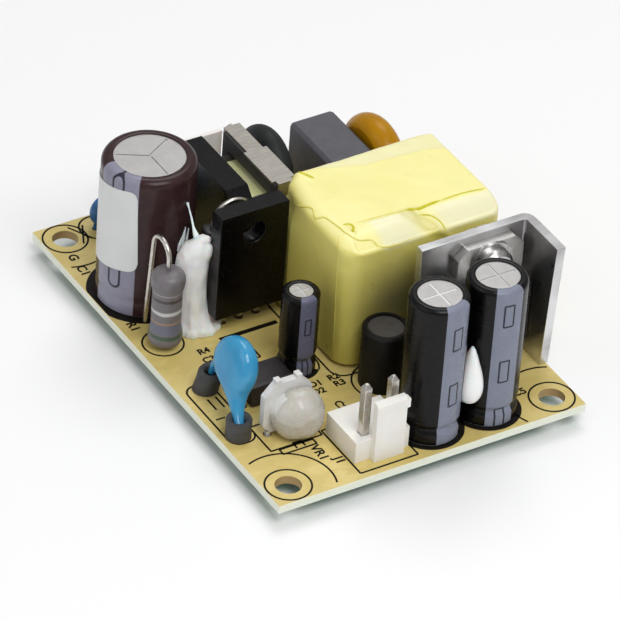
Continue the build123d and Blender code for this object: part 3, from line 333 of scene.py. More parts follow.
def sleeve_paint(name, node, colour, other, ink, stripe, marks, mark_size,
                 roughness=0.27, corner=0.1, line=0.22):
    """A glossy shrink sleeve with the stripe of the minus lead and outlined marks down it."""
    paint = Shader(name, colour, roughness, Specular_IOR_Level=0.22)
    centre = middle(node)
    radius = half_width(node)
    x, y, z = paint.place((centre.x, centre.y, 0.0))
    angle = paint.math("DEGREES", paint.math("ARCTAN2", y, x))
    body = paint.mottled(colour, other, 0.6)
    stripe_start, stripe_end = stripe
    on_stripe = paint.within(angle, stripe_start, stripe_end, 0.4)
    shade = paint.mottled(ink, tuple(0.9 * value for value in ink), 0.8)
    painted = paint.blend(on_stripe, body, shade)
    mark_angle, half_across, half_along = mark_size
    across = paint.math("MULTIPLY", paint.math("SUBTRACT", angle, mark_angle), radians(radius))
    for height in marks:
        along = paint.math("SUBTRACT", z, height)
        drawn = paint.outline(across, along, half_across, half_along, corner, line)
        painted = paint.blend(drawn, painted, (0.03, 0.03, 0.045))
    paint.set("Base Color", painted)
    paint.uneven_gloss(roughness, 0.12, 0.8)
    wrinkle = paint.noise(0.5, 2.0, stretch=(1, 1, 0.35))
    paint.bump(wrinkle, 0.02, 0.6)
    return paint.material


def banded_lacquer():
    """The resistor's slate lacquer with its painted bands."""
    paint = Shader("banded_lacquer", (0.19, 0.17, 0.18), 0.42)
    colour = paint.mottled((0.145, 0.135, 0.143), (0.17, 0.155, 0.165), 0.9)
    wobble = paint.math("MULTIPLY", paint.math("SUBTRACT", paint.noise(0.5, 2.0), 0.5), 0.35)
    height = paint.math("ADD", paint.place()[2], wobble)
    bands = (
        (10.5, 10.3, (0.36, 0.33, 0.36)), (9.7, 9.25, (0.045, 0.035, 0.03)), (7.75, 7.25, (0.60, 0.60, 0.60)),
        (6.0, 5.8, (0.42, 0.24, 0.12)), (5.6, 4.3, (0.13, 0.135, 0.19)), (4.0, 3.45, (0.04, 0.085, 0.05)),
    )
    for top, bottom, ink in bands:
        drawn = paint.math("MULTIPLY", paint.within(height, bottom, top, 0.08), 0.85)
        colour = paint.blend(drawn, colour, ink)
    paint.set("Base Color", colour)
    paint.uneven_gloss(0.4)
    paint.bump(paint.noise(1.6, 3.0), 0.008)
    return paint.material


def tape_paint():
    """Pale yellow film over film: paler single layers, darker overlaps, vivid lines along its folds, with
    painted light: a lighter top, sides painted darker towards the bottom and a painted shadow patch.
    """
    paint = Shader("tape_paint", (0.85, 0.78, 0.33), 0.3, Subsurface_Weight=0.06, Subsurface_Scale=0.0006)
    face = paint.mottled((0.84, 0.75, 0.19), (0.87, 0.79, 0.25), 0.12)
    # Painted shade: the sides darken towards the bottom, where the surrounding parts shade them.
    face = paint.blend(paint.steps(paint.place()[2], 3.0, 20.0, 0.95, 0.1), face, (0.54, 0.46, 0.09))
    top = paint.mottled((0.90, 0.83, 0.32), (0.92, 0.86, 0.38), 0.12)
    # Painted light: the top is coloured lighter than the sides, which are lit less.
    base = paint.blend(paint.steps(paint.facing()[2], 0.5, 0.9), face, top)
    pale = paint.node("ShaderNodeAttribute", attribute_name="pale").outputs["Fac"]
    base = paint.blend(pale, base, (0.82, 0.80, 0.56))
    crease = paint.node("ShaderNodeAttribute", attribute_name="crease").outputs["Fac"]
    base = paint.blend(crease, base, (0.46, 0.40, 0.02))
    # Painted shadow from a vertex attribute: darkens the lower +X side where the capacitors and heatsink
    # shade the tape.
    painted_shade = paint.node("ShaderNodeAttribute", attribute_name="painted_shade").outputs["Fac"]
    base = paint.blend(painted_shade, base, (0.11, 0.10, 0.045))
    paint.set("Base Color", base)
    paint.uneven_gloss(0.33, 0.2, 0.4)
    paint.bump(paint.noise(1.2, 3.0), 0.012)
    return paint.material


def sheet_paint():
    """Bent aluminium sheet: painted soft dark and light reflections over fine rolling lines."""
    paint = Shader("heatsink_aluminium", (0.6, 0.6, 0.6), 0.33, 1.0)
    # Painted reflections: the base colour is mottled between dark and light grey.
    painted_reflections = paint.mottled((0.42, 0.41, 0.41), (0.74, 0.74, 0.75), 0.16, 0.38, 0.62, 1.0)
    line = paint.noise(1.2, 3.0, stretch=(1, 0.12, 1))
    paint.set("Base Color", paint.blend(paint.steps(line, 0.3, 0.7, 0.0, 0.25), painted_reflections, (0.80, 0.80, 0.81)))
    paint.set("Roughness", paint.steps(line, 0.3, 0.7, 0.27, 0.36))
    paint.bump(line, 0.0002)
    return paint.material


def can_paint(node, shine):
    """Matt aluminium whose pressed score lines are painted bright as a highlight."""
    paint = Shader(node, (0.50, 0.485, 0.475), 0.46)
    face = paint.mottled((0.50, 0.485, 0.475), (0.46, 0.45, 0.44), 0.5)
    # Painted highlight: below the top face, in the score lines, the colour is set to a bright grey and the
    # metal is turned off.
    score = paint.steps(paint.place()[2], box_mm(node)[1].z - 0.05, box_mm(node)[1].z - 0.02, 1.0, 0.0)
    paint.set("Base Color", paint.blend(score, face, (shine, shine, shine)))
    paint.set("Metallic", paint.steps(score, 0.0, 1.0, 0.9, 0.0))
    paint.uneven_gloss(0.46)
    return paint.material


def choke_paint():
    """Dark ferrite with a smoother, paler ground end."""
    paint = Shader("choke_core", (0.02, 0.02, 0.022), 0.5)
    ground = paint.mottled((0.058, 0.053, 0.050), (0.072, 0.066, 0.063), 1.2)
    side = paint.mottled((0.014, 0.014, 0.016), (0.022, 0.022, 0.024), 1.2)
    paint.set("Base Color", paint.blend(paint.steps(paint.facing()[2], 0.6, 0.8), side, ground))
    paint.uneven_gloss(0.5)
    paint.bump(paint.noise(4.0, 3.0), 0.01)
    return paint.material


def coating(name, colour, other, roughness, per_mm, depth_mm, **sockets):
    """A dipped or poured coat: soft, glossy and slightly lumpy."""
    paint = Shader(name, colour, roughness, **sockets)
    paint.set("Base Color", paint.mottled(colour, other, per_mm, 0.3, 0.7))
    paint.uneven_gloss(roughness)
    paint.bump(paint.noise(per_mm, 2.0), depth_mm)
    return paint.material


slot_materials = {
    "laminate": laminate(),
    "solder": plain("solder", (0.70, 0.70, 0.68), (0.60, 0.60, 0.60), 0.22, metallic=1.0),
    "can_aluminium": plain("can_aluminium", (0.50, 0.485, 0.475), (0.46, 0.45, 0.44), 0.46, 0.5, 0.9, 0.003),
    "bulk_sleeve": plain("bulk_sleeve", (0.026, 0.009, 0.011), (0.036, 0.013, 0.015), 0.25),
    "black_sleeve": plain("black_sleeve", (0.003, 0.003, 0.003), (0.006, 0.005, 0.005), 0.5,
                          Specular_IOR_Level=0.25),
    "label": plain("label", (0.64, 0.66, 0.66), (0.70, 0.71, 0.70), 0.45, 0.15),
    "ferrite": plain("ferrite", (0.036, 0.032, 0.036), (0.048, 0.044, 0.048), 0.55, grain_mm=0.03),
    "copper": plain("copper", (0.45, 0.17, 0.07), (0.35, 0.12, 0.05), 0.35, metallic=0.6),
    "tinned": brushed("tinned", (0.66, 0.63, 0.58), (0.55, 0.52, 0.48), 0.3, (1, 1, 0.15), 6.0),
    "resistor_coat": banded_lacquer(),
    "blue_coat": coating("blue_coat", (0.03, 0.26, 0.50), (0.05, 0.32, 0.56), 0.12, 0.35, 0.012),
    "sleeve_rubber": plain("sleeve_rubber", (0.040, 0.040, 0.040), (0.060, 0.060, 0.060), 0.6,
                           grain_mm=0.015),
    "trimmer_plastic": plain("trimmer_plastic", (0.62, 0.62, 0.61), (0.70, 0.70, 0.69), 0.4),
    "sealing_glue": coating("sealing_glue", (0.46, 0.44, 0.39), (0.55, 0.53, 0.48), 0.28, 0.35, 0.05,
                            Subsurface_Weight=0.25, Subsurface_Scale=0.0012),
    "nylon": plain("nylon", (0.84, 0.82, 0.77), (0.88, 0.86, 0.82), 0.42, 0.4,
                   Subsurface_Weight=0.15, Subsurface_Scale=0.0006),
    "yellow_tape": tape_paint(),
    "bobbin_plastic": plain("bobbin_plastic", (0.030, 0.028, 0.030), (0.042, 0.040, 0.042), 0.45),
    "filter_tape": coating("filter_tape", (0.90, 0.90, 0.46), (0.94, 0.93, 0.56), 0.3, 0.4, 0.04),
    "clip_steel": brushed("clip_steel", (0.44, 0.415, 0.375), (0.36, 0.34, 0.305), 0.42, (1, 0.15, 1),
                          4.0, 0.002),
    "grey_plastic": plain("grey_plastic", (0.074, 0.074, 0.088), (0.088, 0.088, 0.104), 0.5),
    "ochre_coat": coating("ochre_coat", (0.38, 0.165, 0.0), (0.44, 0.21, 0.0), 0.3, 0.4, 0.02,
                          Specular_IOR_Level=0.2),
    "green_coat": coating("green_coat", (0.009, 0.011, 0.012), (0.014, 0.017, 0.017), 0.55, 0.6, 0.03,
                          Specular_IOR_Level=0.3),
    "black_epoxy": plain("black_epoxy", (0.0012, 0.0008, 0.001), (0.002, 0.0015, 0.0018), 0.25,
                         Specular_IOR_Level=0.22),
    "diode_coat": plain("diode_coat", (0.012, 0.012, 0.012), (0.02, 0.02, 0.02), 0.35),
    "heatsink_aluminium": sheet_paint(),
    "tab_metal": brushed("tab_metal", (0.64, 0.63, 0.61), (0.54, 0.53, 0.51), 0.4, (1, 1, 0.2), 4.0),
    "screw_steel": brushed("screw_steel", (0.60, 0.59, 0.58), (0.5, 0.49, 0.49), 0.28, (1, 0.3, 1), 4.0),
    "silicone": coating("silicone", (0.93, 0.93, 0.92), (0.95, 0.95, 0.94), 0.34, 0.5, 0.05,
                        Subsurface_Weight=0.35, Subsurface_Scale=0.0015),
    "fuse_plastic": plain("fuse_plastic", (0.03, 0.022, 0.018), (0.045, 0.035, 0.028), 0.4),
    "chip_ceramic": plain("chip_ceramic", (0.16, 0.10, 0.05), (0.2, 0.13, 0.07), 0.4),
}


# The mesh helpers below take millimetres.

def new_mesh(name, points, faces):
    """A mesh whose faces all look outwards."""
    mesh = bpy.data.meshes.new(name)
    mesh.from_pydata([tuple(Vector(point) * MM) for point in points], [], faces)
    work = bmesh.new()
    work.from_mesh(mesh)
    bmesh.ops.recalc_face_normals(work, faces=work.faces)
    work.to_mesh(mesh)
    work.free()
    return mesh


def add_mesh(name, points, faces, slot, stands_for=(), material=None):
    """A new piece, smooth between its sharp edges, in its slot's material unless another is given."""
    mesh = new_mesh(name, points, faces)
    mesh.shade_smooth()
    mesh.set_sharp_from_angle(angle=radians(40))
    piece = bpy.data.objects.new(name, mesh)
    scene.collection.objects.link(piece)
    piece.data.materials.append(material or slot_materials[slot])
    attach(piece, "root")
    if stands_for:
        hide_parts(*stands_for)
    return piece


def skin(rings, looped=False):
    """Points and faces between rings of equal length: closed by fans, or into a loop."""
    count = len(rings[0])
    points = [Vector(point) for ring in rings for point in ring]
    faces = []
    spans = len(rings) if looped else len(rings) - 1
    for k in range(spans):
        a, b = k * count, (k + 1) % len(rings) * count
        for j in range(count):
            n = (j + 1) % count
            faces.append((a + j, a + n, b + n, b + j))
    if not looped:
        for start in (0, (len(rings) - 1) * count):
            ring = points[start:start + count]
            points.append(sum(ring, Vector()) / count)
            hub = len(points) - 1
            faces += [(start + j, start + (j + 1) % count, hub) for j in range(count)]
    return points, faces


def join(*shapes):
    """Several (points, faces) pairs as one."""
    points, faces = [], []
    for more_points, more_faces in shapes:
        base = len(points)
        points += list(more_points)
        faces += [tuple(base + index for index in face) for face in more_faces]
    return points, faces


def circle(centre, across, along, count):
    """A ring of points round a centre, from its two half axes."""
    turns = [tau * k / count for k in range(count)]
    return [centre + across * cos(turn) + along * sin(turn) for turn in turns]


def pillow(centre, across, along, power, count):
    """A ring like a rounded rectangle: a power of 1 gives an ellipse and less gives flatter sides."""
    ring = []
    for k in range(count):
        x, y = cos(tau * k / count), sin(tau * k / count)
        x, y = abs(x) ** power * (1 if x > 0 else -1), abs(y) ** power * (1 if y > 0 else -1)
        ring.append(centre + across * x + along * y)
    return ring


def lathe(profile, centre, count=96, looped=False):
    """A profile of (radius, height) pairs turned round an upright axis."""
    rings = []
    for radius, height in profile:
        hub = Vector((centre.x, centre.y, height))
        rings.append(circle(hub, Vector((radius, 0, 0)), Vector((0, radius, 0)), count))
    return skin(rings, looped)


def smooth_path(points, per_span=8):
    """A smooth curve through points of any size, as a list of vectors."""
    points = [Vector(point) for point in points]
    ends = [points[0] * 2 - points[1]] + points + [points[-1] * 2 - points[-2]]
    path = []
    for a, b, c, d in zip(ends, ends[1:], ends[2:], ends[3:]):
        for k in range(per_span):
            t = k / per_span
            path.append((b * 2 + (c - a) * t + (a * 2 - b * 5 + c * 4 - d) * t ** 2
                         + (b * 3 - a - c * 3 + d) * t ** 3) / 2)
    return path + [points[-1]]


def tube(path, radii, count=20):
    """A round tube along a path, with a radius for each of its points."""
    across = (path[1] - path[0]).orthogonal().normalized()
    rings = []
    for k, point in enumerate(path):
        along = (path[min(k + 1, len(path) - 1)] - path[max(k - 1, 0)]).normalized()
        across = (across - along * across.dot(along)).normalized()
        rings.append(circle(point, across * radii[k], along.cross(across) * radii[k], count))
    return skin(rings)


def tapered(path, stops, radii, count=20):
    """A tube whose radius follows a few stops along its path, from 0 to 1."""
    shares = np.linspace(0, 1, len(path))
    return tube(path, list(np.interp(shares, stops, radii)), count)


def prism(flat, low, high):
    """An upright solid over a flat outline of (x, y) points."""
    count = len(flat)
    points = [Vector((x, y, z)) for z in (low, high) for x, y in flat]
    faces = [tuple(range(count - 1, -1, -1)), tuple(range(count, 2 * count))]
    faces += [(j, (j + 1) % count, count + (j + 1) % count, count + j) for j in range(count)]
    return points, faces


def voxel_merge(name, shapes, voxel_mm, smoothing):
    """Overlapping closed shapes merged into one soft skin, as points and faces."""
    points, faces = join(*shapes)
    shape = bpy.data.objects.new(name, new_mesh(name, points, faces))
    scene.collection.objects.link(shape)
    remesh = shape.modifiers.new("merge", "REMESH")
    remesh.mode = "VOXEL"
    remesh.voxel_size = voxel_mm * MM
    soften = shape.modifiers.new("soften", "SMOOTH")
    soften.factor = 0.5
    soften.iterations = smoothing
    result = shape.evaluated_get(bpy.context.evaluated_depsgraph_get()).to_mesh()
    merged = [Vector(vertex.co) / MM for vertex in result.vertices]
    skins = [tuple(face.vertices) for face in result.polygons]
    bpy.data.objects.remove(shape)
    return merged, skins


def sleeve_outline(radius, bottom, top, lip, shoulder, depth):
    """The outer line of a shrink sleeve from the board to the edge of the can's bare top."""
    line = [(radius - 0.25, bottom), (radius, bottom + 0.2)]
    groove = bottom + GROOVE_HEIGHT
    for k in range(-8, 9):
        shift = k / 8 * GROOVE_HALF_WIDTH
        line.append((radius - depth * (0.5 + 0.5 * cos(pi * k / 8)), groove + shift))
    line += [(radius, bottom + (top - bottom) * share) for share in (0.3, 0.5, 0.7, 0.9)]
    for k in range(11):
        turn = pi / 2 * k / 10
        line.append((radius - shoulder * (1 - cos(turn)), top - shoulder * (1 - sin(turn))))
    line.append((radius - lip + 0.06, top))
    line.append((radius - lip, top - 0.05))
    return line


def inset(line, wall):
    """The same line moved inwards by a wall."""
    moved = []
    for k, (radius, height) in enumerate(line):
        before, after = line[max(k - 1, 0)], line[min(k + 1, len(line) - 1)]
        run, rise = after[0] - before[0], after[1] - before[1]
        length = hypot(run, rise)
        moved.append((radius - wall * rise / length, height + wall * run / length))
    return moved


def make_sleeve(name, node, lip, shoulder, slot, material, depth=GROOVE_DEPTH):
    low, high = box_mm(node)
    outer = sleeve_outline(half_width(node), low.z, high.z, lip, shoulder, depth)
    loop = outer + inset(outer, SLEEVE_WALL)[::-1]
    points, faces = lathe(loop, middle(node), looped=True)
    add_mesh(name, points, faces, slot, (node,), material)


def make_capacitor_sleeves():
    ink = (0.22, 0.24, 0.31)
    black, other = (0.002, 0.0018, 0.002), (0.004, 0.0035, 0.004)
    front = sleeve_paint("sleeve_a", "output_capacitor_a_sleeve", black, other, ink, (-17, 38),
                         (17.7, 8.9), (9.5, 0.66, 1.65))
    right = sleeve_paint("sleeve_b", "output_capacitor_b_sleeve", black, other, ink, (-34, 22),
                         (18.8, 10.0, 2.2), (-7.0, 0.66, 1.65))
    small = sleeve_paint("sleeve_supply", "supply_capacitor_sleeve", black, other, (0.13, 0.135, 0.20),
                         (-31, 23), (9.2, 2.6), (-4.4, 0.40, 1.2), line=0.18)
    bulk = sleeve_paint("sleeve_bulk", "bulk_capacitor_sleeve", (0.031, 0.014, 0.015), (0.042, 0.019, 0.020),
                        (0.265, 0.26, 0.335), (-100, -42), (20.45, 7.4), (-69.5, 0.86, 2.2), 0.24, 0.82, 0.3)
    make_sleeve("output_a_sleeve_skin", "output_capacitor_a_sleeve", 1.15, 0.75, "black_sleeve", front)
    make_sleeve("output_b_sleeve_skin", "output_capacitor_b_sleeve", 1.15, 0.75, "black_sleeve", right)
    make_sleeve("supply_sleeve_skin", "supply_capacitor_sleeve", 0.95, 0.6, "black_sleeve", small)
    make_sleeve("bulk_sleeve_skin", "bulk_capacitor_sleeve", 1.55, 1.1, "bulk_sleeve", bulk,
                BULK_GROOVE_DEPTH)


def make_label():
    """A blank film label round the capacitor, with rounded corners."""
    low, high = box_mm("rating_label")
    centre = middle("bulk_capacitor_sleeve")
    radius = half_width("bulk_capacitor_sleeve")
    half_height = (high.z - low.z) / 2
    half_arc = radians(LABEL_SWEEP) / 2 * radius
    columns, rows = 72, 24
    points = []
    for offset in LABEL_FACES:
        for i in range(columns + 1):
            across = (2 * i / columns - 1) * half_arc
            cut = max(0.0, abs(across) - (half_arc - LABEL_CORNER))
            reach = half_height - (LABEL_CORNER - sqrt(max(0.0, LABEL_CORNER ** 2 - cut ** 2)))
            for j in range(rows + 1):
                along = (2 * j / rows - 1) * reach
                height = (low.z + high.z) / 2 + LABEL_RISE + along + LABEL_TILT * across
                turn = radians(LABEL_START + LABEL_SWEEP / 2) + (across - 0.04 * along) / radius
                out = radius + offset
                points.append(Vector((centre.x + out * cos(turn), centre.y + out * sin(turn), height)))
    side = (columns + 1) * (rows + 1)
    faces = []
    for i in range(columns):
        for j in range(rows):
            a = i * (rows + 1) + j
            b = a + rows + 1
            faces.append((a, a + 1, b + 1, b))
            faces.append((side + a, side + b, side + b + 1, side + a + 1))
    rim = list(range(rows)) + [i * (rows + 1) + rows for i in range(columns)]
    rim += [columns * (rows + 1) + j for j in range(rows, 0, -1)]
    rim += [i * (rows + 1) for i in range(columns, 0, -1)]
    for a, b in zip(rim, rim[1:] + rim[:1]):
        faces.append((a, b, side + b, side + a))
    add_mesh("blank_label", points, faces, "label", ("rating_label",))


def arc(x, y, radius, start, end, count=40):
    turns = [radians(start + (end - start) * k / count) for k in range(count + 1)]
    return [(x + radius * cos(turn), y + radius * sin(turn)) for turn in turns]


def rounded(x0, y0, x1, y1, corner):
    """A closed rounded rectangle."""
    hubs = ((x1 - corner, y0 + corner), (x1 - corner, y1 - corner),
            (x0 + corner, y1 - corner), (x0 + corner, y0 + corner))
    line = []
    for quarter, (x, y) in enumerate(hubs):
        line += arc(x, y, corner, 90 * quarter - 90, 90 * quarter, 8)
    return line + line[:1]


def ribbon(path, width=INK_LINE):
    """A flat inked line along a path of (x, y) points."""
    path = [Vector(point) for point in path]
    left, right = [], []
    for k, point in enumerate(path):
        along = (path[min(k + 1, len(path) - 1)] - path[max(k - 1, 0)]).normalized()
        side = Vector((-along.y, along.x)) * width / 2
        left.append(tuple(point + side))
        right.append(tuple(point - side))
    rings = []
    for a, b in zip(left, right):
        rings.append([Vector((*a, BOARD_TOP)), Vector((*b, BOARD_TOP)),
                      Vector((*b, BOARD_TOP + INK_HEIGHT)), Vector((*a, BOARD_TOP + INK_HEIGHT))])
    return skin(rings)


def straight(*corners, width=INK_LINE):
    """Inked straight runs, one after the other."""
    return [ribbon([a, b], width) for a, b in zip(corners, corners[1:])]


def square_outline(x0, y0, x1, y1):
    """Four inked straight runs round a rectangle."""
    return straight((x0, y0), (x0, y1), (x1, y1), (x1, y0), (x0, y0))


def inked_arc(x, y, radius, start=0, end=360):
    return ribbon(arc(x, y, radius, start, end))


def half_disc(node, margin, start, end):
    """The solid mark on the board at a capacitor's minus side."""
    centre = middle(node)
    edge = box_mm("board")[0].y + 0.1
    line = arc(centre.x, centre.y, half_width(node) + margin, start, end)
    return prism([(x, max(y, edge)) for x, y in line], BOARD_TOP, BOARD_TOP + INK_HEIGHT)


def print_at_holes():
    """A ring round each mounting hole and an arc where parts must keep away."""
    lines = [inked_arc(x, y, HOLE_RING) for x in (-HOLE_X, HOLE_X) for y in (-HOLE_Y, HOLE_Y)]
    for side, end, first, last in ((1, -1, 68, 202), (1, 1, 153, 298), (-1, -1, -22, 112), (-1, 1, 250, 382)):
        lines.append(inked_arc(side * HOLE_X, end * HOLE_Y, KEEP_OUT, first, last))
    return lines


def print_round_parts():
    """Outlines of the headers, the resistor, the choke, the transformer and the smaller parts."""
    low, high = box_mm("output_header")
    lines = square_outline(high.x + 1.0, low.y - 0.3, low.x - 0.5, high.y + 0.3)
    low, high = box_mm("input_header")
    lines += square_outline(low.x - 0.6, low.y - 0.3, high.x + 0.5, high.y + 0.3)
    resistor, choke = middle("power_resistor"), middle("output_choke_sleeve")
    lines += [inked_arc(resistor.x - 0.4, resistor.y, 2.7), inked_arc(choke.x, choke.y, 3.9)]
    lines.append(ribbon(rounded(6.0, -21.9, 19.0, -18.2, 1.5)))
    lines += straight((9.2, -20.1), (11.5, -20.1)) + straight((9.2, -18.9), (11.5, -18.9))
    lines += straight((13.3, -21.2), (13.3, -19.9))
    lines.append(ribbon(rounded(16.5, -18.2, 21.9, -10.7, 0.1)))
    lines.append(ribbon(rounded(22.1, -17.1, 23.1, -12.2, 0.1)))
    lines += straight((21.7, -14.9), (22.8, -14.9)) + straight((21.7, -13.7), (22.8, -13.7))
    lines += straight((21.7, -14.9), (21.7, -13.7))
    low, high = box_mm("transformer_wrap")
    lines.append(ribbon(rounded(low.x - 0.3, low.y - 0.7, high.x + 0.6, high.y - 0.4, 2.0)))
    lines.append(inked_arc(-28.9, -14.6, 2.5))
    lines += straight((-30.6, -18.2), (-27.2, -16.4)) + straight((-30.2, -16.2), (-26.6, -18.0))
    low, high = box_mm("power_transistor")
    lines += straight((high.x + 0.7, low.y + 0.4), (high.x + 0.7, high.y - 1.2), width=0.7)
    lines += square_outline(1.5, -12.3, 4.6, -9.5)
    lines += straight((6.4, -13.8), (6.4, -11.2)) + straight((7.0, -13.8), (7.0, -11.2))
    return lines


def print_round_capacitors():
    """At each round capacitor, a solid half at its minus side and a line round the other half."""
    marks = (
        ("bulk_capacitor_sleeve", 1.15, 0.8, -165), ("output_capacitor_a_sleeve", 0.7, 0.55, -92),
        ("output_capacitor_b_sleeve", 0.7, 0.55, -92), ("supply_capacitor_sleeve", 0.5, 0.5, -130),
    )
    lines = []
    for node, solid_margin, line_margin, turn in marks:
        centre = middle(node)
        lines.append(half_disc(node, solid_margin, turn, turn + 180))
        lines.append(inked_arc(centre.x, centre.y, half_width(node) + line_margin, turn + 180, turn + 360))
    return lines


def make_print():
    """All the printed lines as one piece, a little above the board."""
    points, faces = join(*print_at_holes(), *print_round_parts(), *print_round_capacitors())
    add_mesh("board_print", points, faces, "laminate", material=ink_material)


def make_designators():
    """Short generic reference marks: letter and number, mark size, place and turn."""
    marks = (
        ("J1", 1.5, 26.6, -11.9, 0), ("VR1", 1.5, 23.3, -13.4, 0), ("R1", 1.5, -9.2, -21.6, 0),
        ("C1", 1.5, -22.6, -21.5, 0), ("G", 1.5, -25.2, -21.3, 0), ("C2", 1.3, 16.9, -6.0, 0),
        ("D1", 1.25, 13.1, -7.0, 90), ("D2", 1.25, 14.6, -7.4, 90), ("R2", 1.25, 12.9, -4.1, 90),
        ("R3", 1.25, 14.3, -4.0, 90), ("R4", 1.25, 0.8, -16.3, 90), ("C3", 1.25, 2.6, -16.6, 90),
        ("C4", 1.25, 22.9, 14.9, 0), ("U1", 1.25, 2.1, -11.4, 0), ("C5", 1.4, 26.4, 15.4, 90),
    )
    for index, (text, size, x, y, turn) in enumerate(marks):
        letters = bpy.data.curves.new("mark_%d" % index, "FONT")
        letters.body = text
        letters.size = 1.2 * size * MM
        letters.extrude = INK_HEIGHT / 2 * MM
        letters.offset = 0.05 * MM
        piece = bpy.data.objects.new("mark_%d" % index, letters)
        piece.location = Vector((x, y, BOARD_TOP + INK_HEIGHT / 2)) * MM
        piece.rotation_euler = (0, 0, radians(turn))
        scene.collection.objects.link(piece)
        letters.materials.append(ink_material)
        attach(piece, "root")


# The edge of the flap's upper layer, and the pleat beside it
LAYER_EDGE = ((8.4, 9.6, 20.95), (10.2, 10.2, 20.2), (11.6, 11.4, 19.6), (12.4, 12.6, 18.6),
              (12.4, 13.0, 17.4))
PLEAT = ((8.2, 8.6, 21.0), (9.6, 9.2, 20.3), (11.2, 10.4, 19.7), (12.3, 11.6, 18.6), (12.4, 12.0, 17.2))
# Creases of the tape: how dark, how high and where
CREASES = (
    (0.3, 0.10, ((-5.8, -0.2, 21.0), (-4.4, 0.9, 21.0), (-2.7, 1.6, 21.0))),
    (0.3, 0.16, ((7.5, 0.55, 20.95), (8.6, 0.3, 20.8), (9.2, 0.7, 20.6))),
    (0.35, 0.12, ((7.9, 1.2, 20.95), (8.1, 5.0, 20.95), (8.15, 8.7, 20.95), (8.6, 10.2, 20.95),
                  (8.5, 11.6, 20.95), (8.5, 14.3, 20.95), (8.9, 20.9, 20.95))),
    (0.4, 0.2, LAYER_EDGE),
    (0.6, -0.05, ((9.9, -2.35, 20.2), (10.2, -2.3, 13.0), (10.6, -2.2, 3.0))),
    (0.4, -0.04, ((8.9, -2.4, 12.0), (9.6, -2.38, 2.0))),
)
# Folds and film edges: radius, whether vivid, and places that are then laid on the tape
FOLDS = (
    (0.21, True, ((-5.8, -0.1, 20.9), (-4.7, 0.9, 20.9), (-3.0, 1.75, 20.9))),
    (0.2, True, ((6.8, 0.1, 20.6), (7.15, 0.95, 20.6), (7.85, 1.05, 20.6), (8.4, 0.6, 20.6),
                 (8.85, 0.7, 20.6))),
    (0.09, False, ((7.4, 1.6, 20.8), (7.6, 5.2, 20.8), (7.9, 8.9, 20.8))),
    (0.27, True, ((7.9, 8.7, 20.8), (8.45, 10.4, 20.8), (8.37, 11.5, 20.8), (8.15, 13.9, 20.8))),
    (0.13, True, ((8.15, 13.9, 20.8), (8.1, 17.4, 20.8), (8.6, 20.9, 20.8))),
    (0.13, True, ((8.6, 10.3, 20.0), (9.4, 11.6, 20.0), (11.05, 12.1, 20.0), (13.2, 11.75, 20.0))),
    (0.14, False, ((-1.5, -2.4, 21.0), (-0.3, -2.4, 19.9), (3.2, -2.4, 21.7), (4.3, -2.4, 20.85),
                   (6.4, -2.4, 22.35), (9.55, -2.4, 23.05), (11.55, -2.4, 23.35), (12.4, -1.1, 22.4),
                   (12.4, 0.9, 21.7), (12.4, 2.25, 20.2), (12.4, 4.8, 19.65), (12.4, 8.0, 20.15))),
    (0.07, False, ((9.8, -2.4, 22.0), (10.0, -2.4, 18.0), (10.2, -2.4, 13.0), (10.6, -2.4, 4.5))),
)


def rounded_outline(half_x, half_y, corners, spacing):
    """Points and outward directions round a rectangle whose corners have their own radii."""
    signs = ((1, -1, -90), (1, 1, 0), (-1, 1, 90), (-1, -1, 180))
    points, outs = [], []
    knees = [(sx * (half_x - r), sy * (half_y - r), r, start) for (sx, sy, start), r in zip(signs, corners)]
    for (x, y, r, start), (next_x, next_y, next_r, next_start) in zip(knees, knees[1:] + knees[:1]):
        count = max(4, round(r * pi / 2 / spacing))
        for k in range(count):
            turn = radians(start + 90 * k / count)
            points.append((x + r * cos(turn), y + r * sin(turn)))
            outs.append((cos(turn), sin(turn)))
        turn = radians(start + 90)
        from_x, from_y = x + r * cos(turn), y + r * sin(turn)
        to_x, to_y = next_x + next_r * cos(turn), next_y + next_r * sin(turn)
        count = max(1, round(hypot(to_x - from_x, to_y - from_y) / spacing))
        for k in range(count):
            points.append((from_x + (to_x - from_x) * k / count, from_y + (to_y - from_y) * k / count))
            outs.append((cos(turn), sin(turn)))
    return np.array(points), np.array(outs)


def path_distance(places, path):
    """Each place's distance to a path, and how far along the path its nearest point is, from 0 to 1."""
    best = np.full(len(places), 1e9)
    share = np.zeros(len(places))
    runs = len(path) - 1
    for index, (start, end) in enumerate(zip(path, path[1:])):
        start, end = np.array(start), np.array(end)
        along = end - start
        t = np.clip(((places - start) @ along) / (along @ along), 0.0, 1.0)
        gap = np.linalg.norm(places - (start + t[:, None] * along), axis=1)
        nearer = gap < best
        best[nearer] = gap[nearer]
        share[nearer] = (index + t[nearer]) / runs
    return best, share


def smoothstep(value, low, high):
    t = np.clip((value - low) / (high - low), 0.0, 1.0)
    return t * t * (3 - 2 * t)


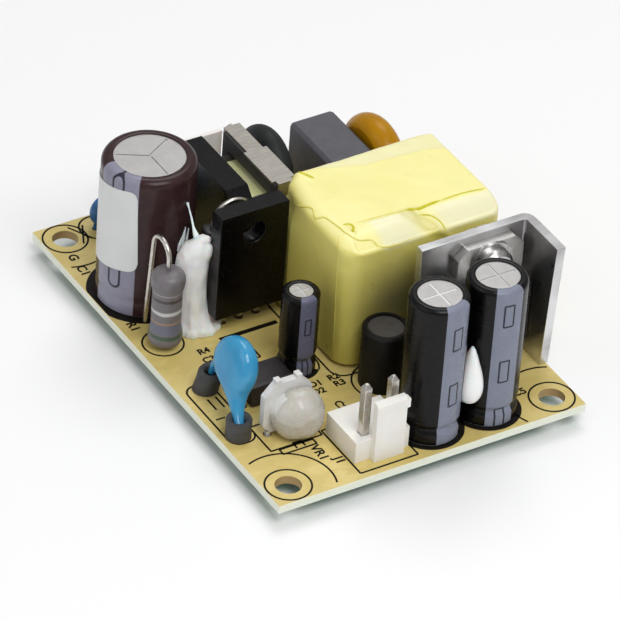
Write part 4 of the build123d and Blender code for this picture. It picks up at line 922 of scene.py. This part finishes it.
def tape_surface(low, high, centre):
    """Rows of points, and their outward directions, from the tape's foot up its sides and over its top."""
    half = (high - low) / 2
    line, outs = rounded_outline(half.x - TAPE_INSET, half.y - TAPE_INSET, TAPE_CORNERS, TAPE_SPACING)
    hub = np.array((centre.x, centre.y))
    line = line + hub
    count = len(line)
    front, left = smoothstep(-outs[:, 1], 0.2, 0.95), smoothstep(-outs[:, 0], 0.2, 0.95)
    edge = 0.45 + 1.0 * front + 0.5 * left
    sink = (0.45 + 1.7 * front + 1.0 * left)[:, None]
    inner = line - outs * sink

    def top_height(xy):
        flap = 1.45 * smoothstep(xy[:, 0], high.x - 4.0, high.x + 0.6) ** 1.2
        slump = 1.2 * smoothstep(low.y + 1.5 - xy[:, 1], 0.0, 2.4) * smoothstep(-xy[:, 0], -9.0, -2.0)
        return high.z - 0.22 - flap - slump

    places, normals = [], []

    def add_row(xy, heights, outward, upward):
        places.append(np.column_stack((xy, np.broadcast_to(heights, count))))
        normals.append(np.column_stack((outs * outward, np.full(count, upward))))

    for k in range(4):
        turn = pi / 2 * k / 4
        foot = line - outs * TAPE_FOOT * (1 - sin(turn))
        add_row(foot, low.z + TAPE_FOOT * (1 - cos(turn)), sin(turn), -cos(turn))
    rims = top_height(inner) - edge
    side_rows = round((high.z - low.z) / TAPE_ROW)
    for k in range(side_rows + 1):
        add_row(line, low.z + TAPE_FOOT + (rims - low.z - TAPE_FOOT) * k / side_rows, 1.0, 0.0)
    for k in range(1, 11):
        turn = pi / 2 * k / 10
        add_row(line - outs * sink * (1 - cos(turn)), rims + edge * sin(turn), cos(turn), sin(turn))
    top_rows = 46
    for k in range(1, top_rows):
        xy = hub + (inner - hub) * (1 - k / top_rows)
        add_row(xy, top_height(xy), 0.0, 1.0)
    return np.vstack(places), np.vstack(normals), count


def lean_in(places, centre, half):
    """Lean the upper part in, above the core, towards its far left corner."""
    upper = smoothstep(places[:, 2], 14.9, 18.5)
    west = centre.x - places[:, 0]
    south = smoothstep(centre.y - places[:, 1], half.y - 4.0, half.y)
    places[:, 1] += 1.2 * smoothstep(west, 0.0, half.x) * south * upper
    places[:, 0] += 0.8 * smoothstep(west, half.x - 3.0, half.x) * upper


def tape_relief(places):
    """How far the film stands out at each place, and how dark its creases are."""
    shift = Vector((7, 3, 1))
    swell = np.array([noise.noise(Vector(p) * 0.16) for p in places])
    crinkle = np.array([noise.noise(Vector((x * 0.5, y * 0.5, z * 0.9)) + shift) for x, y, z in places])
    move = 0.11 * swell + 0.045 * crinkle * smoothstep(np.abs(places[:, 2] - 19.0), 6.0, 0.0)
    crease = np.zeros(len(places))
    for strength, height, path in CREASES:
        gap, share = path_distance(places, path)
        ends = smoothstep(share, 0.0, 0.08) * smoothstep(1 - share, 0.0, 0.08)
        move += height * np.exp(-(gap / 0.28) ** 2) * ends
        crease = np.maximum(crease, strength * np.exp(-(gap / 0.13) ** 2) * ends)
    layer_gap = path_distance(places, LAYER_EDGE)[0]
    pleat_gap = path_distance(places, PLEAT)[0]
    move += 0.2 * np.exp(-(layer_gap / 0.8) ** 2) - 0.12 * np.exp(-(pleat_gap / 0.9) ** 2)
    crease = np.maximum(crease, 0.38 * np.exp(-(pleat_gap / 0.9) ** 4))
    return move, crease


def tape_tints(places, low, high):
    """The strip along the rear, the paler single layers and a painted shadow on the lower +X side, cast there
    by the capacitors and heatsink.
    """
    back_line = np.interp(places[:, 1], (low.y, 2.0, 9.5, 18.6, high.y), (-5.9, -5.4, -2.9, -2.2, -0.9))
    on_top = smoothstep(places[:, 2], high.z - 1.4, high.z - 0.5)
    back_strip = smoothstep(back_line - places[:, 0], -0.06, 0.06) * on_top
    flap_line = np.interp(places[:, 1], (1.2, 8.7, 11.3, 20.9), (7.9, 8.1, 8.65, 8.9))
    slope = smoothstep(places[:, 0] - flap_line, -0.05, 0.1) * smoothstep(places[:, 2], 18.6, 19.8)
    slope *= smoothstep(places[:, 1], 2.5, 4.0)
    clear = np.clip(0.8 * slope + 0.5 * back_strip, 0, 1)
    clear *= 1 - 0.9 * np.exp(-((places[:, 1] - 10.6) / 1.6) ** 2) * (places[:, 0] > 7)
    # Painted shadow: a dark patch on the lower +X side where the capacitors and heatsink cast shade.
    painted_shade = 0.9 * np.exp(-((places[:, 1] - 5.5) / 5.5) ** 2 - ((places[:, 2] - 10.5) / 6.5) ** 2)
    painted_shade *= smoothstep(places[:, 0], high.x - 1.6, high.x - 0.2)
    return back_strip, clear, painted_shade


def make_tape():
    """The tape round the transformer: flat faces, a folded flap, creases, a pleat and overlapping films."""
    low, high = box_mm("transformer_wrap")
    centre = middle("transformer_wrap")
    places, normals, count = tape_surface(low, high, centre)
    lean_in(places, centre, (high - low) / 2)
    move, crease = tape_relief(places)
    back_strip, clear, painted_shade = tape_tints(places, low, high)
    move -= 0.05 * back_strip
    places = places + normals * np.clip(move, -0.3, 0.22)[:, None]
    places = np.clip(places, np.array(low), np.array(high))
    rings = places.reshape(-1, count, 3)
    points, faces = skin([[Vector(point) for point in ring] for ring in rings])
    piece = add_mesh("transformer_tape", points, faces, "yellow_tape", ("transformer_wrap",))
    for name, values in (("crease", crease), ("pale", clear), ("painted_shade", painted_shade)):
        layer = piece.data.attributes.new(name, "FLOAT", "POINT")
        layer.data.foreach_set("value", np.append(values, (0.0, 0.0)))
    make_folds(BVHTree.FromPolygons(points, faces))


def make_folds(tape):
    """Thin raised lines where the film is folded or ends, laid on the tape."""
    view = towards_camera()
    vivid, soft = [], []
    for width, bright, places in FOLDS:
        path = []
        for place in smooth_path(places, 10):
            hit = tape.ray_cast(place + view * 30, -view)[0]
            if hit is not None:
                path.append(hit - view * 0.45 * width)
        fold = tapered(path, (0, 0.12, 0.88, 1), (0.3 * width, width, width, 0.3 * width), 10)
        (vivid if bright else soft).append(fold)
    for name, shapes in (("vivid_folds", vivid), ("film_edges", soft)):
        points, faces = join(*shapes)
        add_mesh(name, points, faces, "yellow_tape", material=fold_materials[name])


def make_resistor():
    """The resistor's body: rounded end caps and a slightly thinner middle."""
    low, high = box_mm("power_resistor")
    end, waist, cap = half_width("power_resistor"), 1.98, 2.9
    bottom, wire = BOARD_TOP + RESISTOR_STANDOFF, 0.33
    line = []
    for k in range(9):
        turn = pi / 2 * k / 8
        line.append((0.45 + (end - 0.45) * sin(turn) ** 0.8, bottom + 1.2 * (1 - cos(turn))))
    line += [(end, bottom + 1.5), (end - 0.03, bottom + 2.0), (end - 0.12, bottom + cap - 0.35)]
    line += [(waist, bottom + cap + 0.2), (waist, bottom + 5.0)]
    mirrored = [(radius, bottom + high.z - RESISTOR_SHORT - height) for radius, height in line[::-1]]
    points, faces = join(lathe(line + mirrored, middle("power_resistor"), 64),
                         lathe(((wire, low.z), (wire, high.z)), middle("power_resistor"), 20))
    add_mesh("resistor_body", points, faces, "resistor_coat", ("power_resistor",))


def make_snubber():
    """The upright diode: a black body, and its bright lead looped over to its own hole."""
    start, foot = Vector((-8.2, -9.9, 0)), Vector((-8.0, -4.8, 0))
    low, high = box_mm("snubber_diode")
    radius, wire, bend, bottom, top = 1.35, 0.3, 2.9, 5.8, 13.4
    profile = ((0.5, bottom), (radius - 0.25, bottom), (radius - 0.06, bottom + 0.1), (radius, bottom + 0.3),
               (radius, bottom + 4.0), (radius, top - 0.3), (radius - 0.06, top - 0.1),
               (radius - 0.25, top), (0.5, top))
    points, faces = join(lathe(profile, start, 48), lathe(((wire, low.z), (wire, bottom + 0.5)), start, 16))
    add_mesh("diode_body", points, faces, "diode_coat", ("snubber_diode",))
    along = (foot - start).normalized()
    hub = start + along * bend + UP * (high.z - bend - wire)
    path = [start + UP * (top - 0.2), start + UP * (hub.z - 0.1)]
    path += [hub + (UP * sin(turn) - along * cos(turn)) * bend for turn in np.linspace(0, radians(178), 24)]
    path += [foot + UP * 8.0, foot + UP * BOARD_TOP]
    path = smooth_path(path, 3)
    points, faces = tube(path, [wire] * len(path), 20)
    add_mesh("diode_lead", points, faces, "tinned")


def make_disc_capacitor():
    """The blue capacitor: a thick rounded disc that runs down into its two legs."""
    centre = Vector((12.6, -18.4, 8.6))
    lean = radians(17.5)
    across, upright = Vector((1, 0, 0)), Vector((0, sin(lean), cos(lean)))
    outward = across.cross(upright)
    leg_top = box_mm("y_capacitor_sleeves")[1].z - 0.4
    # along the disc from its top to the front leg: share, sideways shift, half width, half thickness
    levels = ((3.72, 0.0, 0.25, 0.3), (3.6, 0.0, 1.15, 0.75), (3.2, 0.0, 2.1, 1.15), (2.4, 0.0, 3.0, 1.42),
              (1.2, 0.0, 3.7, 1.6), (0.0, 0.0, 3.9, 1.7), (-1.2, 0.15, 3.6, 1.7), (-2.2, 0.7, 2.8, 1.6),
              (-3.0, 1.6, 2.0, 1.35))
    stops = [(*(centre + upright * rise + across * shift), wide, deep) for rise, shift, wide, deep in levels]
    waist = Vector(stops[-1][:3])
    leg = Vector((*FRONT_LEG, leg_top - 0.6))
    stops += [(*waist.lerp(leg, 0.4), 1.25, 1.0), (*waist.lerp(leg, 0.75), 0.9, 0.8), (*leg, 0.7, 0.7)]
    stops = np.array(stops)
    fine = np.linspace(0, len(stops) - 1, 90)
    curve = np.array([np.interp(fine, range(len(stops)), column) for column in stops.T]).T
    for again in range(6):
        curve[1:-1] = (curve[:-2] + 2 * curve[1:-1] + curve[2:]) / 4
    rings = []
    for stop in curve:
        power = 1.0 - 0.35 * min(stop[3] / 3.0, 1.0)
        rings.append(pillow(Vector(stop[:3]), across * stop[3], outward * stop[4], power, 64))
    shapes = [skin(rings)]
    rear = smooth_path((centre - across * 1.0 - upright * 0.8, centre - across * 2.2 - upright * 1.9,
                        (8.6, -17.8, 6.6), (7.6, -18.2, 5.4), (7.3, -18.6, leg_top - 0.3)))
    shapes.append(tapered(rear, (0, 0.3, 0.6, 1), (1.3, 1.0, 0.6, 0.45), 24))
    points, faces = voxel_merge("disc", shapes, 0.15, 8)
    add_mesh("blue_disc", points, faces, "blue_coat", ("y_capacitor",))


def make_input_disc():
    """The small blue capacitor behind the bulk capacitor, on two thin legs."""
    foot_height = box_mm("input_y_capacitor")[0].z
    centre = middle("input_y_capacitor")
    centre += Vector((0, -1.0, BOARD_TOP + 2.55 - centre.z))
    radius, half_thick, wire = 2.4, 1.2, 0.3
    rings = []
    for k in range(1, 20):
        turn = pi * k / 20
        reach = radius * sin(turn) ** 0.75
        hub = centre + Vector((half_thick * cos(turn), 0, 0))
        rings.append(circle(hub, Vector((0, reach, 0)), Vector((0, 0, reach)), 48))
    shapes = [skin(rings)]
    for side in (-1, 1):
        foot = Vector((centre.x, centre.y + 1.0 + side * INPUT_DISC_PITCH / 2, foot_height))
        knee = Vector((foot.x, foot.y, BOARD_TOP + 0.5))
        path = smooth_path((foot, knee, centre + Vector((0, side * 1.2, -1.2))), 6)
        shapes.append(tube(path, [wire] * len(path), 16))
    points, faces = join(*shapes)
    add_mesh("input_disc", points, faces, "blue_coat", ("input_y_capacitor",), dark_blue)


def make_leg_sleeves():
    """Two short soft tubes round the legs, open at the top."""
    low, high = box_mm("y_capacitor_sleeves")
    shapes = []
    line = [(1.5, low.z), (1.72, low.z + 0.15), (1.66, low.z + 1.4), (1.72, high.z - 0.25), (1.58, high.z),
            (1.25, high.z - 0.02), (0.95, high.z - 0.25), (0.8, high.z - 0.7), (0.8, low.z)]
    for (x, y), lean in ((FRONT_LEG, Vector((0, 0, 0))), (REAR_LEG, Vector((0.1, 0.85, 0)))):
        points, faces = lathe(line, Vector((x, y, 0)), 48, looped=True)
        share = [(point.z - low.z) / (high.z - low.z) for point in points]
        shapes.append(([point + lean * part for point, part in zip(points, share)], faces))
    points, faces = join(*shapes)
    add_mesh("leg_tubes", points, faces, "sleeve_rubber", ("y_capacitor_sleeves",))


def make_seal():
    """The hard drop of glue over the trimmer: round, slightly lumpy, flat where it meets the plate."""
    centre = Vector((19.85, -13.4, 4.4))
    radius, back = 3.68, 19.14
    low, high = box_mm("trimmer_seal")
    rings = []
    for k in range(1, 40):
        turn = pi * 0.98 * k / 40
        reach = radius * sin(turn)
        hub = centre + Vector((radius * cos(turn), 0, 0))
        ring = circle(hub, Vector((0, reach, 0)), Vector((0, 0, reach)), 72)
        for index, point in enumerate(ring):
            out = (point - centre).normalized()
            lump = 0.16 * noise.noise(out * 1.6 + Vector((2, 0, 5))) + 0.05 * noise.noise(out * 4.0)
            facet = 0.10 * abs(sin(3.0 * atan2(out.z, out.y) + 0.6)) * sin(turn)
            ring[index] = centre + out * (radius - 0.06 + lump - facet)
            ring[index].x = min(max(ring[index].x, back), high.x)
            ring[index].z = max(ring[index].z, low.z)
        rings.append(ring)
    points, faces = skin(rings)
    add_mesh("glue_drop", points, faces, "sealing_glue", ("trimmer_seal",))


# The silicone's centre, height above the board and radius, from its foot to its tip
GLUE_RINGS = (
    (-4.9, -13.6, 0.0, 3.3), (-4.9, -13.6, 0.8, 3.3), (-5.1, -13.9, 1.8, 2.75), (-5.3, -14.3, 3.4, 2.35),
    (-5.4, -14.4, 6.2, 2.25), (-5.4, -14.4, 9.0, 2.25), (-5.5, -14.3, 11.0, 2.2), (-5.3, -14.0, 12.4, 1.8),
    (-4.9, -13.6, 13.6, 1.1), (-4.7, -13.4, 14.5, 0.45),
)


def glue_column():
    """The ribbed column with its pulled-out tip."""
    path = smooth_path([(x, y, z + BOARD_TOP) for x, y, z, radius in GLUE_RINGS], 6)
    steps = np.linspace(0, len(GLUE_RINGS) - 1, len(path))
    radii = np.interp(steps, range(len(GLUE_RINGS)), [ring[3] for ring in GLUE_RINGS])
    rings = []
    for hub, radius in zip(path, radii):
        ring = circle(hub, Vector((radius, 0, 0)), Vector((0, radius, 0)), 56)
        for index, point in enumerate(ring):
            out = point - hub
            lump = 1 + 0.10 * noise.noise(Vector((point.x, point.y, point.z * 0.35)) * 0.9)
            lump += 0.07 * noise.noise(Vector((point.x, point.y, point.z * 0.12)) * 2.6)
            ring[index] = hub + out * (lump - 0.05)
        rings.append(ring)
    above = Vector((0, 0, BOARD_TOP))
    tip = ((-5.1, -13.8, 13.2), (-4.3, -13.3, 14.1), (-3.7, -12.95, 14.4))
    stem = ((-4.6, -13.4, 11.0), (-3.9, -13.1, 12.4), (-3.6, -12.95, 13.6))
    shapes = [skin(rings)]
    for places, radii in ((tip, (0.9, 0.35)), (stem, (1.0, 0.4))):
        spur = smooth_path([Vector(place) + above for place in places])
        shapes.append(tapered(spur, (0, 1), radii))
    return voxel_merge("glue", shapes, 0.16, 3)


def glue_smears():
    """A drawn thread and three smears on the capacitor beside the column."""
    bulk = middle("bulk_capacitor_sleeve")
    radius = half_width("bulk_capacitor_sleeve")

    def on_bulk(angle, height, out=0.05):
        turn = radians(angle)
        return Vector((bulk.x + (radius + out) * cos(turn), bulk.y + (radius + out) * sin(turn), height))

    thread = smooth_path((on_bulk(22.5, 18.3), (-7.6, -13.6, 16.9), (-6.4, -13.8, 15.7), (-5.2, -13.8, 14.6)))
    smears = [tapered(thread, (0, 0.15, 0.6, 1), (0.2, 0.1, 0.16, 0.55), 12)]
    for angle, start, end, width in ((11.5, 11.2, 13.2, 0.22), (17, 11.6, 14.4, 0.26), (24, 11.0, 13.8, 0.2)):
        half_way = on_bulk(angle + 1.5, (start + end) / 2)
        smear = smooth_path((on_bulk(angle, start), half_way, on_bulk(angle + 5, end)))
        smears.append(tapered(smear, (0, 0.5, 1), (width, width, 0.05), 10))
    return smears


def make_glue():
    """Squeezed silicone: a ribbed column with a pulled-out tip, and smears on the capacitor beside it."""
    points, faces = join(glue_column(), *glue_smears())
    add_mesh("silicone_column", points, faces, "silicone", ("glue_column",))


def make_blob():
    """The smooth white blob between the two output capacitors."""
    low, high = box_mm("glue_fillet")
    centre = middle("glue_fillet")
    rings = []
    profile = ((0.0, 0.25), (0.05, 0.62), (0.14, 0.88), (0.26, 1.0), (0.4, 0.97), (0.55, 0.83), (0.7, 0.62),
               (0.84, 0.42), (0.94, 0.25), (1.0, 0.1))
    path = smooth_path([Vector((share, reach, 0)) for share, reach in profile], 5)
    half = (high - low) / 2
    for share, reach in (point.xy for point in path):
        hub = Vector((centre.x, centre.y, low.z + (high.z - low.z) * min(max(share, 0), 1)))
        across, along = Vector((half.x * reach * 0.98, 0, 0)), Vector((0, half.y * reach * 0.98, 0))
        rings.append(circle(hub, across, along, 48))
    points, faces = skin(rings)
    add_mesh("silicone_blob", points, faces, "silicone", ("glue_fillet",))


def dress_cad():
    """Give each CAD node its slot's material."""
    for part in frame["record"]["subparts"]:
        piece = nodes[part["node"]]
        piece.data.materials.clear()
        piece.data.materials.append(node_materials.get(part["node"]) or slot_materials[part["material_slot"]])


def soften_edges():
    """Round the sharp edges of moulded and cut CAD parts."""
    widths = {
        "output_header": 0.16, "input_header": 0.16, "heatsink": 0.12, "output_rectifier_tab": 0.1,
        "line_filter_clip": 0.06, "trimmer_base": 0.12, "output_header_pins": 0.1, "input_header_pins": 0.1,
        "x_capacitor": 0.1, "optocoupler": 0.1, "power_transistor": 0.25, "output_rectifier": 0.2,
    }
    for node, width in widths.items():
        piece = nodes[node]
        weld = piece.modifiers.new("weld", "WELD")
        weld.merge_threshold = 0.001 * MM
        bevel = piece.modifiers.new("soft_edges", "BEVEL")
        bevel.width = width * MM
        bevel.segments = 3
        bevel.limit_method = "ANGLE"
        bevel.angle_limit = radians(35)
        bevel.harden_normals = True


dark_blue = coating("dark_blue", (0.012, 0.10, 0.27), (0.02, 0.13, 0.32), 0.25, 0.35, 0.012)
node_materials = {
    "optocoupler": plain("optocoupler", (0.012, 0.009, 0.010), (0.020, 0.015, 0.017), 0.45),
    "output_choke_core": choke_paint(),
    "output_capacitor_a_can": can_paint("output_capacitor_a_can", 0.72),
    "output_capacitor_b_can": can_paint("output_capacitor_b_can", 0.52),
    "supply_capacitor_can": can_paint("supply_capacitor_can", 0.55),
}
fold_materials = {
    "vivid_folds": plain("vivid_folds", (0.56, 0.52, 0.01), (0.66, 0.62, 0.03), 0.3),
    "film_edges": plain("film_edges", (0.68, 0.60, 0.11), (0.74, 0.66, 0.17), 0.35),
}
ink_material = plain("board_ink", (0.006, 0.005, 0.004), (0.011, 0.009, 0.007), 0.6, Specular_IOR_Level=0.15)

make_camera()
make_stage()
dress_cad()
soften_edges()
make_capacitor_sleeves()
make_label()
make_print()
make_designators()
make_tape()
make_resistor()
make_snubber()
make_disc_capacitor()
make_input_disc()
make_leg_sleeves()
make_seal()
make_glue()
make_blob()
